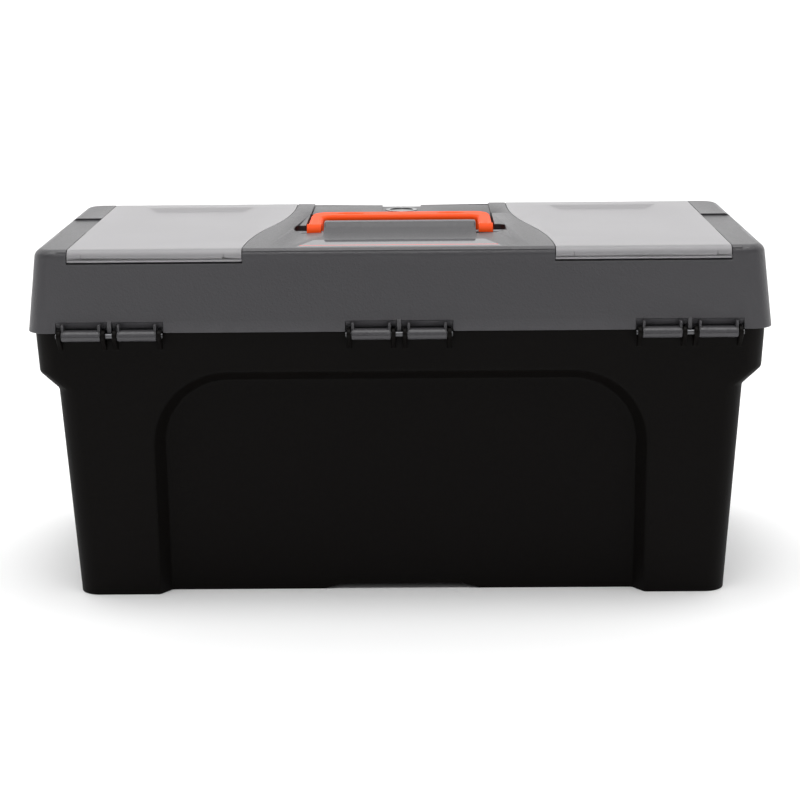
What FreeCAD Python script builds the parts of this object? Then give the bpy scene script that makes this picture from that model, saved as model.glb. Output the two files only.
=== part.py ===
import FreeCAD, Part
import math
import os
import re
import Sketcher
from FreeCAD import Placement, Rotation, Vector

# A 22 inch plastic toolbox: a drafted tub, a lid with two organizer bays under clear covers, a folding
# carrying handle in a well of the lid, two front latches and a lift-out tray on ledges inside the tub.
# Millimetres. +Z is up, +X runs along the box, the latches are at -Y and the hinges at +Y.
# The origin is on the floor under the middle of the box.
# Every size below is a cell of the sheet, and every feature is bound to the cells by expressions.
SIZES = {
    # tub
    "tub_height": 209.7, "foot_draft_length": 9.0, "foot_draft_depth": 11.0,
    "shoulder_inset": 15.5, "shoulder_drop": 31.7, "shoulder_slope": 13.0,
    "collar_draft": 1.5, "collar_inset_length": 4.5, "collar_inset_depth": 3.0,
    "tub_corner_radius": 16.0, "tub_wall": 2.5, "tub_floor": 3.0,
    "base_recess": 4.2, "base_rim": 4.0,
    # arched panels sunk in the front and rear walls of the tub
    "panel_depth": 12.0, "panel_margin": 63.0, "panel_rise": 1.0, "panel_corner_radius": 58.0,
    "panel_band": 8.5, "scallop_half_width": 47.0, "scallop_ramp": 14.0, "scallop_height": 4.0,
    # lid shell
    "seat_gap": 0.3, "lid_height": 62.0, "lid_half_length": 280.0, "lid_half_depth": 137.0,
    "lid_draft_length": 6.5, "lid_draft_depth": 6.0, "lid_corner_radius": 16.0,
    "deck_edge_radius": 7.0, "lid_wall": 2.5,
    "flange_width": 10.0, "flange_thickness": 3.0,
    # organizer bays
    "bay_end_lip": 4.5, "bay_inner_lip": 4.0, "bay_margin": 8.0, "bay_depth": 32.0, "bay_wall": 2.0,
    "divider_wall": 1.6, "divider_slack": 0.3, "divider_drop": 5.0, "rib_width": 1.5, "rib_reach": 3.0,
    # organizer covers
    "cover_wall": 2.0, "cover_gap": 0.4, "cover_margin": 26.0, "cover_front_inner": 90.0,
    "cover_rear_inner": 117.0, "curve_front_margin": 29.0, "curve_rear_margin": 3.0,
    "cover_overrun": 8.0, "skirt_wall": 2.4,
    "skirt_inset": 0.3, "cover_axis_margin": 1.1, "cover_axis_drop": 8.0, "skirt_below_axis": 1.3,
    "notch_below_axis": 2.7, "notch_behind_axis": 2.1, "front_skirt": 7.0,
    "trunnion_radius": 1.2, "trunnion_reach": 3.0, "trunnion_fit": 0.05, "trunnion_block": 10.0,
    "dish_front_margin": 25.0, "dish_rear_margin": 61.0, "dish_inner_margin": 9.0,
    "dish_outer_margin": 30.5, "dish_depth": 2.8,
    # finger channels over the ends of the lid
    "channel_front": -44.0, "channel_rear": 40.0, "channel_depth": 1.8,
    # console between the covers
    "console_half_width": 75.0, "console_step": 2.2, "console_rear": -57.0, "console_skin": 3.0,
    "dip_half_width": 16.5, "dip_depth": 1.3, "dip_length": 43.0,
    "label_front": 73.0, "label_rear_margin": 5.0, "label_front_half_width": 66.0,
    "label_rear_half_width": 80.0, "label_thickness": 0.7,
    "recess_front": 24.0, "recess_rear_margin": 12.0, "recess_front_half_width": 76.0,
    "recess_rear_half_width": 90.0, "recess_slope": 9.0, "recess_depth": 2.8,
    "badge_radius": 13.5, "badge_margin": 22.0, "badge_gap": 0.3, "badge_sink": 1.2,
    "badge_thickness": 1.6,
    # handle well, the pockets at its rear corners and the bridge behind it
    "well_slack": 1.7, "pocket_half_width": 84.0, "pocket_front": 8.0, "pocket_rear": 33.0,
    "bridge_front": 19.0,
    "well_depth": 20.0, "well_floor": 2.0, "well_side": 4.0, "bridge_half_width": 60.0,
    "bridge_crest_front": 22.0, "bridge_crest_rear": 32.0, "bridge_rise": 6.0, "bridge_rear": 57.0,
    # carrying handle
    "arm_inner": 62.5, "arm_outer": 73.8, "grip_front": -52.0, "grip_rear": -27.0, "handle_rise": 3.0,
    "handle_thickness": 14.0, "handle_axis_y": 22.0, "handle_axis_drop": 5.0,
    "handle_corner_radius": 15.0, "handle_inner_radius": 8.0,
    "handle_edge_radius": 4.0, "handle_pin_radius": 2.5,
    "handle_pin_seat": 6.0, "handle_pin_outer_seat": 2.5,
    # hinges, three sets of two barrels
    "hinge_margin": 63.0, "hinge_overhang": 2.0, "hinge_drop": 1.4, "barrel_radius": 4.0,
    "barrel_length": 29.3, "barrel_inner": 6.25, "ear_width": 3.3, "ear_gap": 0.35, "ear_radius": 4.5,
    "ear_foot": 13.0, "hinge_pin_radius": 2.0, "pin_overhang": 1.0, "pin_fit": 0.05,
    "scoop_half_width": 40.2, "scoop_height": 8.0, "scoop_depth": 4.0, "scoop_wall": 2.5,
    "gusset_width": 1.9, "gusset_height": 7.0, "centre_rib_width": 3.5,
    # latches
    "latch_offset": 150.0, "latch_half_width": 22.0, "latch_overhang": 2.0, "latch_rise": 26.0,
    "latch_barrel_radius": 4.0, "latch_plate": 3.5, "latch_length": 66.0, "latch_pin_radius": 2.0,
    "latch_ear_width": 3.2, "latch_ear_gap": 0.4, "latch_ear_radius": 4.2, "hook_drop": 19.7,
    "hook_height": 4.0, "hook_reach": 4.0, "keeper_half_width": 16.0, "keeper_gap": 0.5,
    "keeper_height": 4.0, "keeper_stand": 1.4, "latch_stand": 6.5,
    # padlock eyes at the middle of the front
    "eye_tab_half_width": 9.0, "eye_tab_thickness": 4.0, "padlock_hole": 3.5,
    "eye_tab_gap": 1.5, "padlock_stand": 1.6,
    # lift-out tray
    "tray_gap": 2.5, "tray_rim_drop": 9.7, "tray_depth": 54.0, "tray_basin_inset": 8.0,
    "tray_wall": 2.2, "bin_inset": 6.0, "tray_draft": 3.0, "tray_cross": 100.0,
    "tray_partition_height": 40.0, "tray_corner_radius": 10.0,
    # tray handle, clipped over the long partition of the tray
    "tray_grip_half_length": 62.0, "tray_grip_rise": 14.0, "tray_grip_bar": 8.0,
    "tray_grip_edge": 3.0,
    "tray_grip_half_width": 6.0, "tray_post_length": 10.0, "tray_post_bite": 12.0, "tray_clip_gap": 0.3,
}
# Measures worked out from the sizes above, so that what fits together changes together.
DERIVED = {
    # tub, which follows the lid's rim
    "collar_half_length": "lid_half_length - collar_inset_length",
    "collar_half_depth": "lid_half_depth - collar_inset_depth",
    "collar_low_half_length": "collar_half_length - collar_draft",
    "lower_half_length": "collar_half_length - shoulder_inset",
    "foot_half_length": "lower_half_length - foot_draft_length",
    "foot_half_depth": "collar_half_depth - foot_draft_depth",
    "shoulder_high": "tub_height - shoulder_drop",
    "shoulder_low": "shoulder_high - shoulder_slope",
    "panel_half_width": "foot_half_length - panel_margin",
    "panel_top": "shoulder_high + panel_rise",
    # lid and what stands in it
    "lid_low": "tub_height + seat_gap",
    "deck": "lid_low + lid_height",
    "deck_half_length": "lid_half_length - lid_draft_length",
    "deck_half_depth": "lid_half_depth - lid_draft_depth",
    "console": "deck - console_step",
    "dip_rear": "dip_length - deck_half_depth",
    "recess_rear": "deck_half_depth - recess_rear_margin",
    "label_rear": "recess_rear - label_rear_margin",
    "badge_y": "badge_margin - deck_half_depth",
    "well_front": "console_rear",
    "well_half_width": "arm_outer + well_slack",
    "handle_axis_z": "deck - handle_axis_drop",
    "eye_radius": "handle_axis_drop + handle_rise",
    # organizer covers and bays
    "cover_outer": "deck_half_length - cover_margin",
    "cover_axis_y": "deck_half_depth - cover_axis_margin",
    "cover_axis_z": "deck - cover_axis_drop",
    "cover_seat": "deck - cover_wall - cover_gap",
    "curve_front": "curve_front_margin - deck_half_depth",
    "curve_rear": "deck_half_depth - curve_rear_margin",
    "dish_front": "dish_front_margin - deck_half_depth",
    "dish_rear": "deck_half_depth - dish_rear_margin",
    "dish_inner": "cover_rear_inner + dish_inner_margin",
    "dish_outer": "cover_outer - dish_outer_margin",
    "bay_inner": "cover_rear_inner + bay_inner_lip",
    "bay_outer": "cover_outer - bay_end_lip",
    "bay_half_depth": "deck_half_depth - bay_margin",
    "bay_floor": "cover_seat - bay_depth",
    # hinges, latches and padlock eyes
    "hinge_spacing": "lid_half_length - hinge_margin",
    "hinge_y": "lid_half_depth + hinge_overhang",
    "hinge_z": "tub_height - hinge_drop",
    "latch_y": "-1 * (lid_half_depth + latch_overhang)",
    "latch_z": "lid_low + latch_rise",
    "latch_low": "latch_z - latch_length",
    "latch_front": "lid_half_depth + latch_stand",
    "hook_top": "tub_height - hook_drop",
    "keeper_reach": "lid_half_depth + keeper_stand",
    "eye_tab_reach": "lid_half_depth + latch_stand",
    "padlock_y": "-1 * (lid_half_depth + padlock_stand)",
    # tray
    "tray_half_length": "collar_low_half_length - tub_wall - tray_gap",
    "tray_half_depth": "foot_half_depth - panel_depth - tub_wall - tray_gap",
    "tray_basin_half_length": "lower_half_length - tray_basin_inset",
    "tray_rim": "tub_height - tray_rim_drop",
    "tray_low": "tray_rim - tray_depth",
    "tray_grip_top": "tray_rim + tray_grip_rise",
}
PLANES = {"XY": "XY_Plane", "XZ": "XZ_Plane", "YZ": "YZ_Plane"}

doc = FreeCAD.newDocument("Toolbox")
sheet = doc.addObject("Spreadsheet::Sheet", "Sizes")
for row, (size_name, number) in enumerate(SIZES.items(), start=1):
    sheet.set(f"A{row}", size_name)
    sheet.set(f"B{row}", str(number))
    sheet.setAlias(f"B{row}", size_name)
doc.recompute()

sub_parts = {}


def cells(expression):
    """Write an expression in plain size names as FreeCAD reads it, with the sheet's name before each."""
    names = r"(?<!\.)\b[a-z][a-z_]+\b"
    while any(name in DERIVED for name in re.findall(names, expression)):
        expression = re.sub(names, lambda m: f"({DERIVED[m.group()]})"
                            if m.group() in DERIVED else m.group(), expression)
    return re.sub(names, lambda m: f"Sizes.{m.group()}" if m.group() in SIZES else m.group(), expression)


def number(expression):
    """The value that an expression in size names has now."""
    return float(sheet.evalExpression(cells(expression)))


def bind(feature, target, expression):
    feature.setExpression(target, cells(expression))


def new_body(label):
    body = doc.addObject("PartDesign::Body", "Body_" + label)
    body.Label = label
    sub_parts[label] = body
    return body


def new_sketch(body, plane, level, tilt=None):
    """A sketch on one of the body's own origin planes, moved along the plane's normal to a level."""
    sketch = body.newObject("Sketcher::SketchObject", "Sketch")
    origin_plane = next(f for f in body.Origin.OriginFeatures if f.Role == PLANES[plane])
    sketch.AttachmentSupport = [(origin_plane, "")]
    sketch.MapMode = "FlatFace"
    turn = Rotation(Vector(1, 0, 0), number(tilt)) if tilt else Rotation()
    sketch.AttachmentOffset = Placement(Vector(0, 0, number(level)), turn)
    bind(sketch, "AttachmentOffset.Base.z", level)
    if tilt:
        bind(sketch, "AttachmentOffset.Rotation.Angle", tilt)
    return sketch


def pin_point(sketch, element, vertex, across, up):
    """Hold one point of a sketch at a place given by two expressions."""
    for kind, expression in (("DistanceX", across), ("DistanceY", up)):
        index = sketch.addConstraint(
            Sketcher.Constraint(kind, -1, 1, element, vertex, number(expression)))
        bind(sketch, f"Constraints[{index}]", expression)


def hold_radius(sketch, element, expression):
    index = sketch.addConstraint(Sketcher.Constraint("Radius", element, number(expression)))
    bind(sketch, f"Constraints[{index}]", expression)


def join_ends(sketch, elements, kinds):
    """Close a chain of elements; each joint is Tangent where round meets straight, else Coincident."""
    for place, kind in enumerate(kinds):
        after = elements[(place + 1) % len(elements)]
        sketch.addConstraint(Sketcher.Constraint(kind, elements[place], 2, after, 1))


def polygons(body, plane, level, outlines):
    """A sketch of one or more closed outlines with straight sides."""
    sketch = new_sketch(body, plane, level)
    for points in outlines:
        places = [Vector(number(across), number(up), 0) for across, up in points]
        elements = []
        for place, start in enumerate(places):
            end = places[(place + 1) % len(places)]
            elements.append(sketch.addGeometry(Part.LineSegment(start, end)))
        join_ends(sketch, elements, ["Coincident"] * len(elements))
        for element, (across, up) in zip(elements, points):
            pin_point(sketch, element, 1, across, up)
    return sketch


def polygon(body, plane, level, points):
    return polygons(body, plane, level, [points])


def disc(body, plane, level, across, up, radius):
    sketch = new_sketch(body, plane, level)
    centre = Vector(number(across), number(up), 0)
    element = sketch.addGeometry(Part.Circle(centre, Vector(0, 0, 1), number(radius)))
    pin_point(sketch, element, 3, across, up)
    hold_radius(sketch, element, radius)
    return sketch


def rounded_rectangle(body, level, half_x, half_y, radius):
    """A rectangle about the Z axis with four round corners."""
    sketch = new_sketch(body, "XY", level)
    reach_x, reach_y, bend = number(half_x), number(half_y), number(radius)
    corners = [(1, 1), (-1, 1), (-1, -1), (1, -1)]
    arcs = []
    for place, (side_x, side_y) in enumerate(corners):
        centre = Vector(side_x * (reach_x - bend), side_y * (reach_y - bend), 0)
        circle = Part.Circle(centre, Vector(0, 0, 1), bend)
        start = place * math.pi / 2
        arcs.append(sketch.addGeometry(Part.ArcOfCircle(circle, start, start + math.pi / 2)))
    elements = []
    for place, arc in enumerate(arcs):
        after = arcs[(place + 1) % 4]
        start = sketch.getPoint(arc, 2)
        end = sketch.getPoint(after, 1)
        elements += [arc, sketch.addGeometry(Part.LineSegment(start, end))]
    join_ends(sketch, elements, ["Tangent"] * 8)
    for arc, (side_x, side_y) in zip(arcs, corners):
        pin_point(sketch, arc, 3, f"{side_x} * ({half_x} - ({radius}))",
                  f"{side_y} * ({half_y} - ({radius}))")
        hold_radius(sketch, arc, radius)
    return sketch


def arch(body, level, tilt, half_width, low, top, radius):
    """The outline of a sunk wall panel: straight sides, round shoulders and a level top."""
    sketch = new_sketch(body, "XZ", level, tilt)
    reach, foot, crown, bend = (number(e) for e in (half_width, low, top, radius))
    arcs = []
    for side, start in ((1, 0.0), (-1, math.pi / 2)):
        circle = Part.Circle(Vector(side * (reach - bend), crown - bend, 0), Vector(0, 0, 1), bend)
        arcs.append(sketch.addGeometry(Part.ArcOfCircle(circle, start, start + math.pi / 2)))
    right_foot = Vector(reach, foot, 0)
    left_foot = Vector(-reach, foot, 0)
    rise = sketch.addGeometry(Part.LineSegment(right_foot, sketch.getPoint(arcs[0], 1)))
    crest = sketch.addGeometry(Part.LineSegment(sketch.getPoint(arcs[0], 2), sketch.getPoint(arcs[1], 1)))
    fall = sketch.addGeometry(Part.LineSegment(sketch.getPoint(arcs[1], 2), left_foot))
    base = sketch.addGeometry(Part.LineSegment(left_foot, right_foot))
    join_ends(sketch, [rise, arcs[0], crest, arcs[1], fall, base],
              ["Tangent", "Tangent", "Tangent", "Tangent", "Coincident", "Coincident"])
    for arc, side in zip(arcs, (1, -1)):
        pin_point(sketch, arc, 3, f"{side} * ({half_width} - ({radius}))", f"{top} - ({radius})")
        hold_radius(sketch, arc, radius)
    for line in (fall, base):
        index = sketch.addConstraint(Sketcher.Constraint("DistanceY", -1, 1, line, 2, foot))
        bind(sketch, f"Constraints[{index}]", low)
    return sketch


def lug(body, level, axis_y, axis_z, radius, root_y, root_low, root_high):
    """An ear seen from the end: round about a pin's axis, with two tangents back to a wall."""
    sketch = new_sketch(body, "YZ", level)
    centre = Vector(number(axis_y), number(axis_z), 0)
    bend = number(radius)
    outward = 1.0 if number(root_y) < centre.x else -1.0
    places = []
    for expression, side in ((root_low, -1.0), (root_high, 1.0)):
        root = Vector(number(root_y), number(expression), 0)
        away = root - centre
        swing = math.acos(bend / away.Length)
        angle = math.atan2(away.y, away.x) - outward * side * swing
        places.append((root, centre + Vector(math.cos(angle), math.sin(angle), 0) * bend))
    (low_root, low_touch), (high_root, high_touch) = places
    tip = centre + Vector(outward * bend, 0, 0)
    lower = sketch.addGeometry(Part.LineSegment(low_root, low_touch))
    nose = sketch.addGeometry(Part.Arc(low_touch, tip, high_touch))
    upper = sketch.addGeometry(Part.LineSegment(high_touch, high_root))
    root = sketch.addGeometry(Part.LineSegment(high_root, low_root))
    first, last = (1, 2) if outward > 0 else (2, 1)
    sketch.addConstraint(Sketcher.Constraint("Tangent", lower, 2, nose, first))
    sketch.addConstraint(Sketcher.Constraint("Tangent", nose, last, upper, 1))
    sketch.addConstraint(Sketcher.Constraint("Coincident", upper, 2, root, 1))
    sketch.addConstraint(Sketcher.Constraint("Coincident", root, 2, lower, 1))
    pin_point(sketch, nose, 3, axis_y, axis_z)
    hold_radius(sketch, nose, radius)
    pin_point(sketch, lower, 1, root_y, root_low)
    pin_point(sketch, upper, 2, root_y, root_high)
    return sketch


def cover_outline(body, level, side, margin):
    """The plan of an organizer cover: an inner edge of two equal arcs that meet in an S, then straight.

    Each arc leaves its straight end squarely, which sets its radius. The margin grows the outline
    all round, for the seat that the cover drops into.
    """
    sketch = new_sketch(body, "XY", level)
    front, rear = f"{side} * (cover_front_inner - {margin})", f"{side} * (cover_rear_inner - {margin})"
    edge = f"{side} * (cover_outer + {margin})"
    depth = "(deck_half_depth + cover_overrun)"
    middle = (f"({front} + {rear}) / 2", "(curve_front + curve_rear) / 2")
    corners = [(front, f"-1 * {depth}"), (front, "curve_front"), middle, (rear, "curve_rear"),
               (rear, depth), (edge, depth), (edge, f"-1 * {depth}")]
    places = [Vector(number(across), number(up), 0) for across, up in corners]
    shift = (places[3].x - places[1].x) / 2
    length = places[2].y - places[1].y
    radius = (length ** 2 + shift ** 2) / (2 * abs(shift))
    outward = math.copysign(1.0, shift)
    swing = math.asin(length / radius) / 2
    lean = Vector(outward * (1 - math.cos(swing)), math.sin(swing), 0) * radius
    chain = [Part.LineSegment(places[0], places[1]), Part.Arc(places[1], places[1] + lean, places[2]),
             Part.Arc(places[2], places[3] - lean, places[3])]
    chain += [Part.LineSegment(places[k], places[(k + 1) % 7]) for k in (3, 4, 5, 6)]
    elements = [sketch.addGeometry(piece) for piece in chain]

    def vertex_at(element, place):
        first = (sketch.getPoint(element, 1) - place).Length
        second = (sketch.getPoint(element, 2) - place).Length
        return 1 if first < second else 2

    for k, corner in enumerate(corners):
        before, after = elements[k - 1], elements[k]
        leave, enter = vertex_at(before, places[k]), vertex_at(after, places[k])
        sketch.addConstraint(Sketcher.Constraint("Coincident", before, leave, after, enter))
        pin_point(sketch, after, enter, *corner)
    for element, level_of_centre in ((elements[1], "curve_front"), (elements[2], "curve_rear")):
        index = sketch.addConstraint(
            Sketcher.Constraint("DistanceY", -1, 1, element, 3, number(level_of_centre)))
        bind(sketch, f"Constraints[{index}]", level_of_centre)
    return sketch


def pad(body, sketch, length):
    feature = body.newObject("PartDesign::Pad", "Pad")
    feature.Profile = sketch
    feature.Refine = False
    bind(feature, "Length", length)
    return feature


def pocket(body, sketch, length):
    """Cut along the sketch's normal."""
    feature = body.newObject("PartDesign::Pocket", "Pocket")
    feature.Profile = sketch
    feature.Reversed = True
    feature.Refine = False
    bind(feature, "Length", length)
    return feature


def loft(body, kind, sections):
    feature = body.newObject("PartDesign::" + kind, kind)
    feature.Profile = sections[0]
    feature.Sections = sections[1:]
    feature.Ruled = True
    feature.Refine = False
    return feature


def frustum(body, low_z, high_z, low_reach, high_reach):
    """A solid with a rectangular foot and a rectangular top, both centred on the Z axis."""
    feature = body.newObject("PartDesign::AdditiveWedge", "Wedge")
    side_plane = next(f for f in body.Origin.OriginFeatures if f.Role == PLANES["XZ"])
    feature.AttachmentSupport = [(side_plane, "")]
    feature.MapMode = "FlatFace"
    sizes = {"Ymin": low_z, "Ymax": high_z, "Xmin": f"-1 * {low_reach[0]}", "Xmax": low_reach[0],
             "Zmin": f"-1 * {low_reach[1]}", "Zmax": low_reach[1], "X2min": f"-1 * {high_reach[0]}",
             "X2max": high_reach[0], "Z2min": f"-1 * {high_reach[1]}", "Z2max": high_reach[1]}
    for target, expression in sizes.items():
        setattr(feature, target, number(expression))
        bind(feature, target, expression)
    return feature


def plan(body, level, rectangles):
    """A level sketch of rectangles, each given as its low and high X and its low and high Y."""
    return polygons(body, "XY", level, [
        [(low_x, low_y), (high_x, low_y), (high_x, high_y), (low_x, high_y)]
        for low_x, high_x, low_y, high_y in rectangles])


def slabs(body, rectangles, low_z, high_z):
    """Add blocks that share a foot level and a top level."""
    return pad(body, plan(body, low_z, rectangles), f"({high_z}) - ({low_z})")


def trenches(body, rectangles, low_z, high_z):
    """Cut out blocks that share a foot level and a top level."""
    return pocket(body, plan(body, low_z, rectangles), f"({high_z}) - ({low_z})")


def slab(body, low_x, high_x, low_y, high_y, low_z, high_z):
    return slabs(body, [(low_x, high_x, low_y, high_y)], low_z, high_z)


def trench(body, low_x, high_x, low_y, high_y, low_z, high_z):
    return trenches(body, [(low_x, high_x, low_y, high_y)], low_z, high_z)


def ordered(first, second):
    """Two places, with the lower one first."""
    return tuple(sorted((first, second), key=number))


def bore(body, low_x, high_x, axis_y, axis_z, radius):
    """A round hole along X."""
    return pocket(body, disc(body, "YZ", low_x, axis_y, axis_z, radius), f"({high_x}) - ({low_x})")


def rod(body, low_x, high_x, axis_y, axis_z, radius):
    """A round bar along X."""
    return pad(body, disc(body, "YZ", low_x, axis_y, axis_z, radius), f"({high_x}) - ({low_x})")


def fillet(body, radius, wanted):
    """Round the edges that a test on the edge picks."""
    doc.recompute()
    base = body.Tip
    names = [f"Edge{n}" for n, edge in enumerate(base.Shape.Edges, start=1) if wanted(edge)]
    feature = body.newObject("PartDesign::Fillet", "Fillet")
    feature.Base = (base, names)
    bind(feature, "Radius", radius)
    return feature


def spans(edge, axis):
    """How far an edge reaches along an axis, 0 for X, 1 for Y and 2 for Z."""
    box = edge.BoundBox
    return (box.XLength, box.YLength, box.ZLength)[axis]


def flat_at(edge, axis, place):
    """True for an edge that lies in a plane square to an axis."""
    box = edge.BoundBox
    low, high = ((box.XMin, box.XMax), (box.YMin, box.YMax), (box.ZMin, box.ZMax))[axis]
    return abs(low - place) < 0.01 and abs(high - place) < 0.01


def mirrored(body, features, plane):
    feature = body.newObject("PartDesign::Mirrored", "Mirrored")
    origin_plane = next(f for f in body.Origin.OriginFeatures if f.Role == PLANES[plane])
    feature.Originals = features
    feature.MirrorPlane = (origin_plane, [""])
    body.Tip = feature
    doc.recompute()
    return feature


def wall_depth(height):
    """Half the tub's depth at a height: its front and rear walls lean out by one straight draft."""
    return f"(foot_half_depth + (collar_half_depth - foot_half_depth) * ({height}) / tub_height)"


def lower_length(height):
    """Half the tub's length below the shoulder at a height."""
    return f"(foot_half_length + (lower_half_length - foot_half_length) * ({height}) / shoulder_low)"


def lid_depth(height):
    """Half the lid's depth at a height above the floor."""
    return f"(lid_half_depth - (lid_half_depth - deck_half_depth) * (({height}) - lid_low) / lid_height)"


HINGES = {"right": -1, "centre": 0, "left": 1}
SIDES = {"left": 1, "right": -1}


def hinge_centre(side):
    return f"{side} * hinge_spacing"


def ear_places():
    """The four ears of a hinge set, as the inner face of each and its side of the set's middle."""
    for side in (1, -1):
        yield side, "barrel_inner - ear_gap - ear_width"
        yield side, "barrel_inner + barrel_length + ear_gap"


def build_tub():
    body = new_body("tub")
    foot = rounded_rectangle(body, "0", "foot_half_length", "foot_half_depth", "tub_corner_radius")
    rim = rounded_rectangle(body, "tub_height", lower_length("tub_height"), "collar_half_depth",
                            "tub_corner_radius")
    loft(body, "AdditiveLoft", [foot, rim])
    under = rounded_rectangle(body, "shoulder_low", "lower_half_length", wall_depth("shoulder_low"),
                              "tub_corner_radius")
    over = rounded_rectangle(body, "shoulder_high", "collar_low_half_length", wall_depth("shoulder_high"),
                             "tub_corner_radius")
    loft(body, "AdditiveLoft", [under, over])
    low = rounded_rectangle(body, "shoulder_high", "collar_low_half_length", wall_depth("shoulder_high"),
                            "tub_corner_radius")
    high = rounded_rectangle(body, "tub_height", "collar_half_length", "collar_half_depth",
                             "tub_corner_radius")
    loft(body, "AdditiveLoft", [low, high])
    # the cavity has a level ledge at each end, where the tray rests
    inner_radius = "tub_corner_radius - tub_wall"
    bottom = rounded_rectangle(body, "base_recess + tub_floor", "foot_half_length - tub_wall",
                               "foot_half_depth - tub_wall", inner_radius)
    ledge = rounded_rectangle(body, "shoulder_high", lower_length("shoulder_high") + " - tub_wall",
                              wall_depth("shoulder_high") + " - tub_wall", inner_radius)
    loft(body, "SubtractiveLoft", [bottom, ledge])
    collar = rounded_rectangle(body, "shoulder_high", "collar_low_half_length - tub_wall",
                               wall_depth("shoulder_high") + " - tub_wall", inner_radius)
    mouth = rounded_rectangle(body, "tub_height", "collar_half_length - tub_wall",
                              "collar_half_depth - tub_wall", inner_radius)
    loft(body, "SubtractiveLoft", [collar, mouth])
    # the panel lies in a plane that leans like the wall: first its backing, then the recess itself
    lean = "-1 * atan((collar_half_depth - foot_half_depth) / tub_height)"
    backing = []
    for depth, shrink in (("0.5", "0"), ("panel_depth + tub_wall", "panel_band")):
        backing.append(arch(body, f"{depth} - foot_half_depth", lean,
                            f"panel_half_width + tub_wall - {shrink}", "0.1",
                            f"panel_top + tub_wall - {shrink}", f"panel_corner_radius - {shrink}"))
    added = loft(body, "AdditiveLoft", backing)
    recess = []
    for depth, shrink in (("0", "0"), ("panel_depth", "panel_band")):
        recess.append(arch(body, f"{depth} - foot_half_depth", lean, f"panel_half_width - {shrink}",
                           "-10", f"panel_top - {shrink}", f"panel_corner_radius - {shrink}"))
    cut = loft(body, "SubtractiveLoft", recess)
    doc.recompute()
    mirrored(body, [added, cut], "XZ")
    # the floor stands on a rim, which a scallop for the fingers crosses at the front and the rear
    inner = "foot_half_depth - panel_depth - tub_wall - base_rim"
    trench(body, "base_rim - foot_half_length", "foot_half_length - base_rim", f"-1 * ({inner})", inner,
           "0", "base_recess")
    for side in (1, -1):
        ends = ordered(f"{side} * ({inner} - 1)", f"{side} * (foot_half_depth + 1)")
        level = f"-1 * ({ends[1]})"
        wide = "(scallop_half_width + scallop_ramp)"
        outline = [(f"-1 * {wide}", "-1"), (wide, "-1"), (wide, "0"), ("scallop_half_width", "scallop_height"),
                   ("-1 * scallop_half_width", "scallop_height"), (f"-1 * {wide}", "0")]
        pocket(body, polygon(body, "XZ", level, outline), f"({ends[1]}) - ({ends[0]})")
    for side in HINGES.values():
        for hand, inner_face in ear_places():
            start = f"{hinge_centre(side)} + {hand} * ({inner_face})" + (" - ear_width" if hand < 0 else "")
            pad(body, lug(body, start, "hinge_y", "hinge_z", "ear_radius",
                          wall_depth("hinge_z - ear_foot") + " - 1", "hinge_z - ear_foot",
                          "tub_height - 0.2"), "ear_width")
    bore(body, "-1 * collar_half_length", "collar_half_length", "hinge_y", "hinge_z",
         "hinge_pin_radius + pin_fit")
    for side in SIDES.values():
        middle = f"{side} * latch_offset"
        slab(body, f"{middle} - keeper_half_width", f"{middle} + keeper_half_width", "-1 * keeper_reach",
             "1 - " + wall_depth("hook_top + keeper_gap"), "hook_top + keeper_gap",
             "hook_top + keeper_gap + keeper_height")
    slab(body, "-1 * eye_tab_half_width", "eye_tab_half_width", "-1 * eye_tab_reach",
         "1 - " + wall_depth("lid_low - eye_tab_gap - eye_tab_thickness"),
         "lid_low - eye_tab_gap - eye_tab_thickness", "lid_low - eye_tab_gap")
    pocket(body, disc(body, "XY", "lid_low - eye_tab_gap - eye_tab_thickness - 1", "0", "padlock_y",
                      "padlock_hole"), "eye_tab_thickness + 2")


def build_lid():
    body = new_body("lid")
    frustum(body, "lid_low", "deck", ("lid_half_length", "lid_half_depth"),
            ("deck_half_length", "deck_half_depth"))
    fillet(body, "lid_corner_radius", lambda edge: spans(edge, 2) > 10)
    fillet(body, "deck_edge_radius", lambda edge: flat_at(edge, 2, number("deck")))
    # hollow from below, with a flange left round the mouth that sits over the tub's rim
    inner_radius = "lid_corner_radius - lid_wall"
    mouth = rounded_rectangle(body, "lid_low + flange_thickness", "lid_half_length - lid_wall",
                              "lid_half_depth - lid_wall", inner_radius)
    top = rounded_rectangle(body, "deck - lid_wall", "deck_half_length - lid_wall - 1",
                            "deck_half_depth - lid_wall - 1", inner_radius)
    loft(body, "SubtractiveLoft", [mouth, top])
    throat = rounded_rectangle(body, "lid_low", "lid_half_length - flange_width",
                               "lid_half_depth - flange_width", inner_radius)
    pocket(body, throat, "flange_thickness")
    add_lid_blocks(body)
    cut_console(body)
    cut_bays(body)
    add_lid_hinges(body)
    # ears that carry the latch pins, and the upper padlock eye
    for side in SIDES.values():
        middle = f"{side} * latch_offset"
        for hand in (1, -1):
            start = f"{middle} + {hand} * (latch_half_width + latch_ear_gap)"
            start += " - latch_ear_width" if hand < 0 else ""
            pad(body, lug(body, start, "latch_y", "latch_z", "latch_ear_radius",
                          "1 - " + lid_depth("latch_z + 9"), "latch_z - 9", "latch_z + 9"),
                "latch_ear_width")
        bore(body, f"{middle} - latch_half_width - 5", f"{middle} + latch_half_width + 5", "latch_y",
             "latch_z", "latch_pin_radius + pin_fit")
    slab(body, "-1 * eye_tab_half_width", "eye_tab_half_width", "-1 * eye_tab_reach", "2 - lid_half_depth",
         "lid_low", "lid_low + eye_tab_thickness")
    pocket(body, disc(body, "XY", "lid_low - 1", "0", "padlock_y", "padlock_hole"), "eye_tab_thickness + 2")


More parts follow.
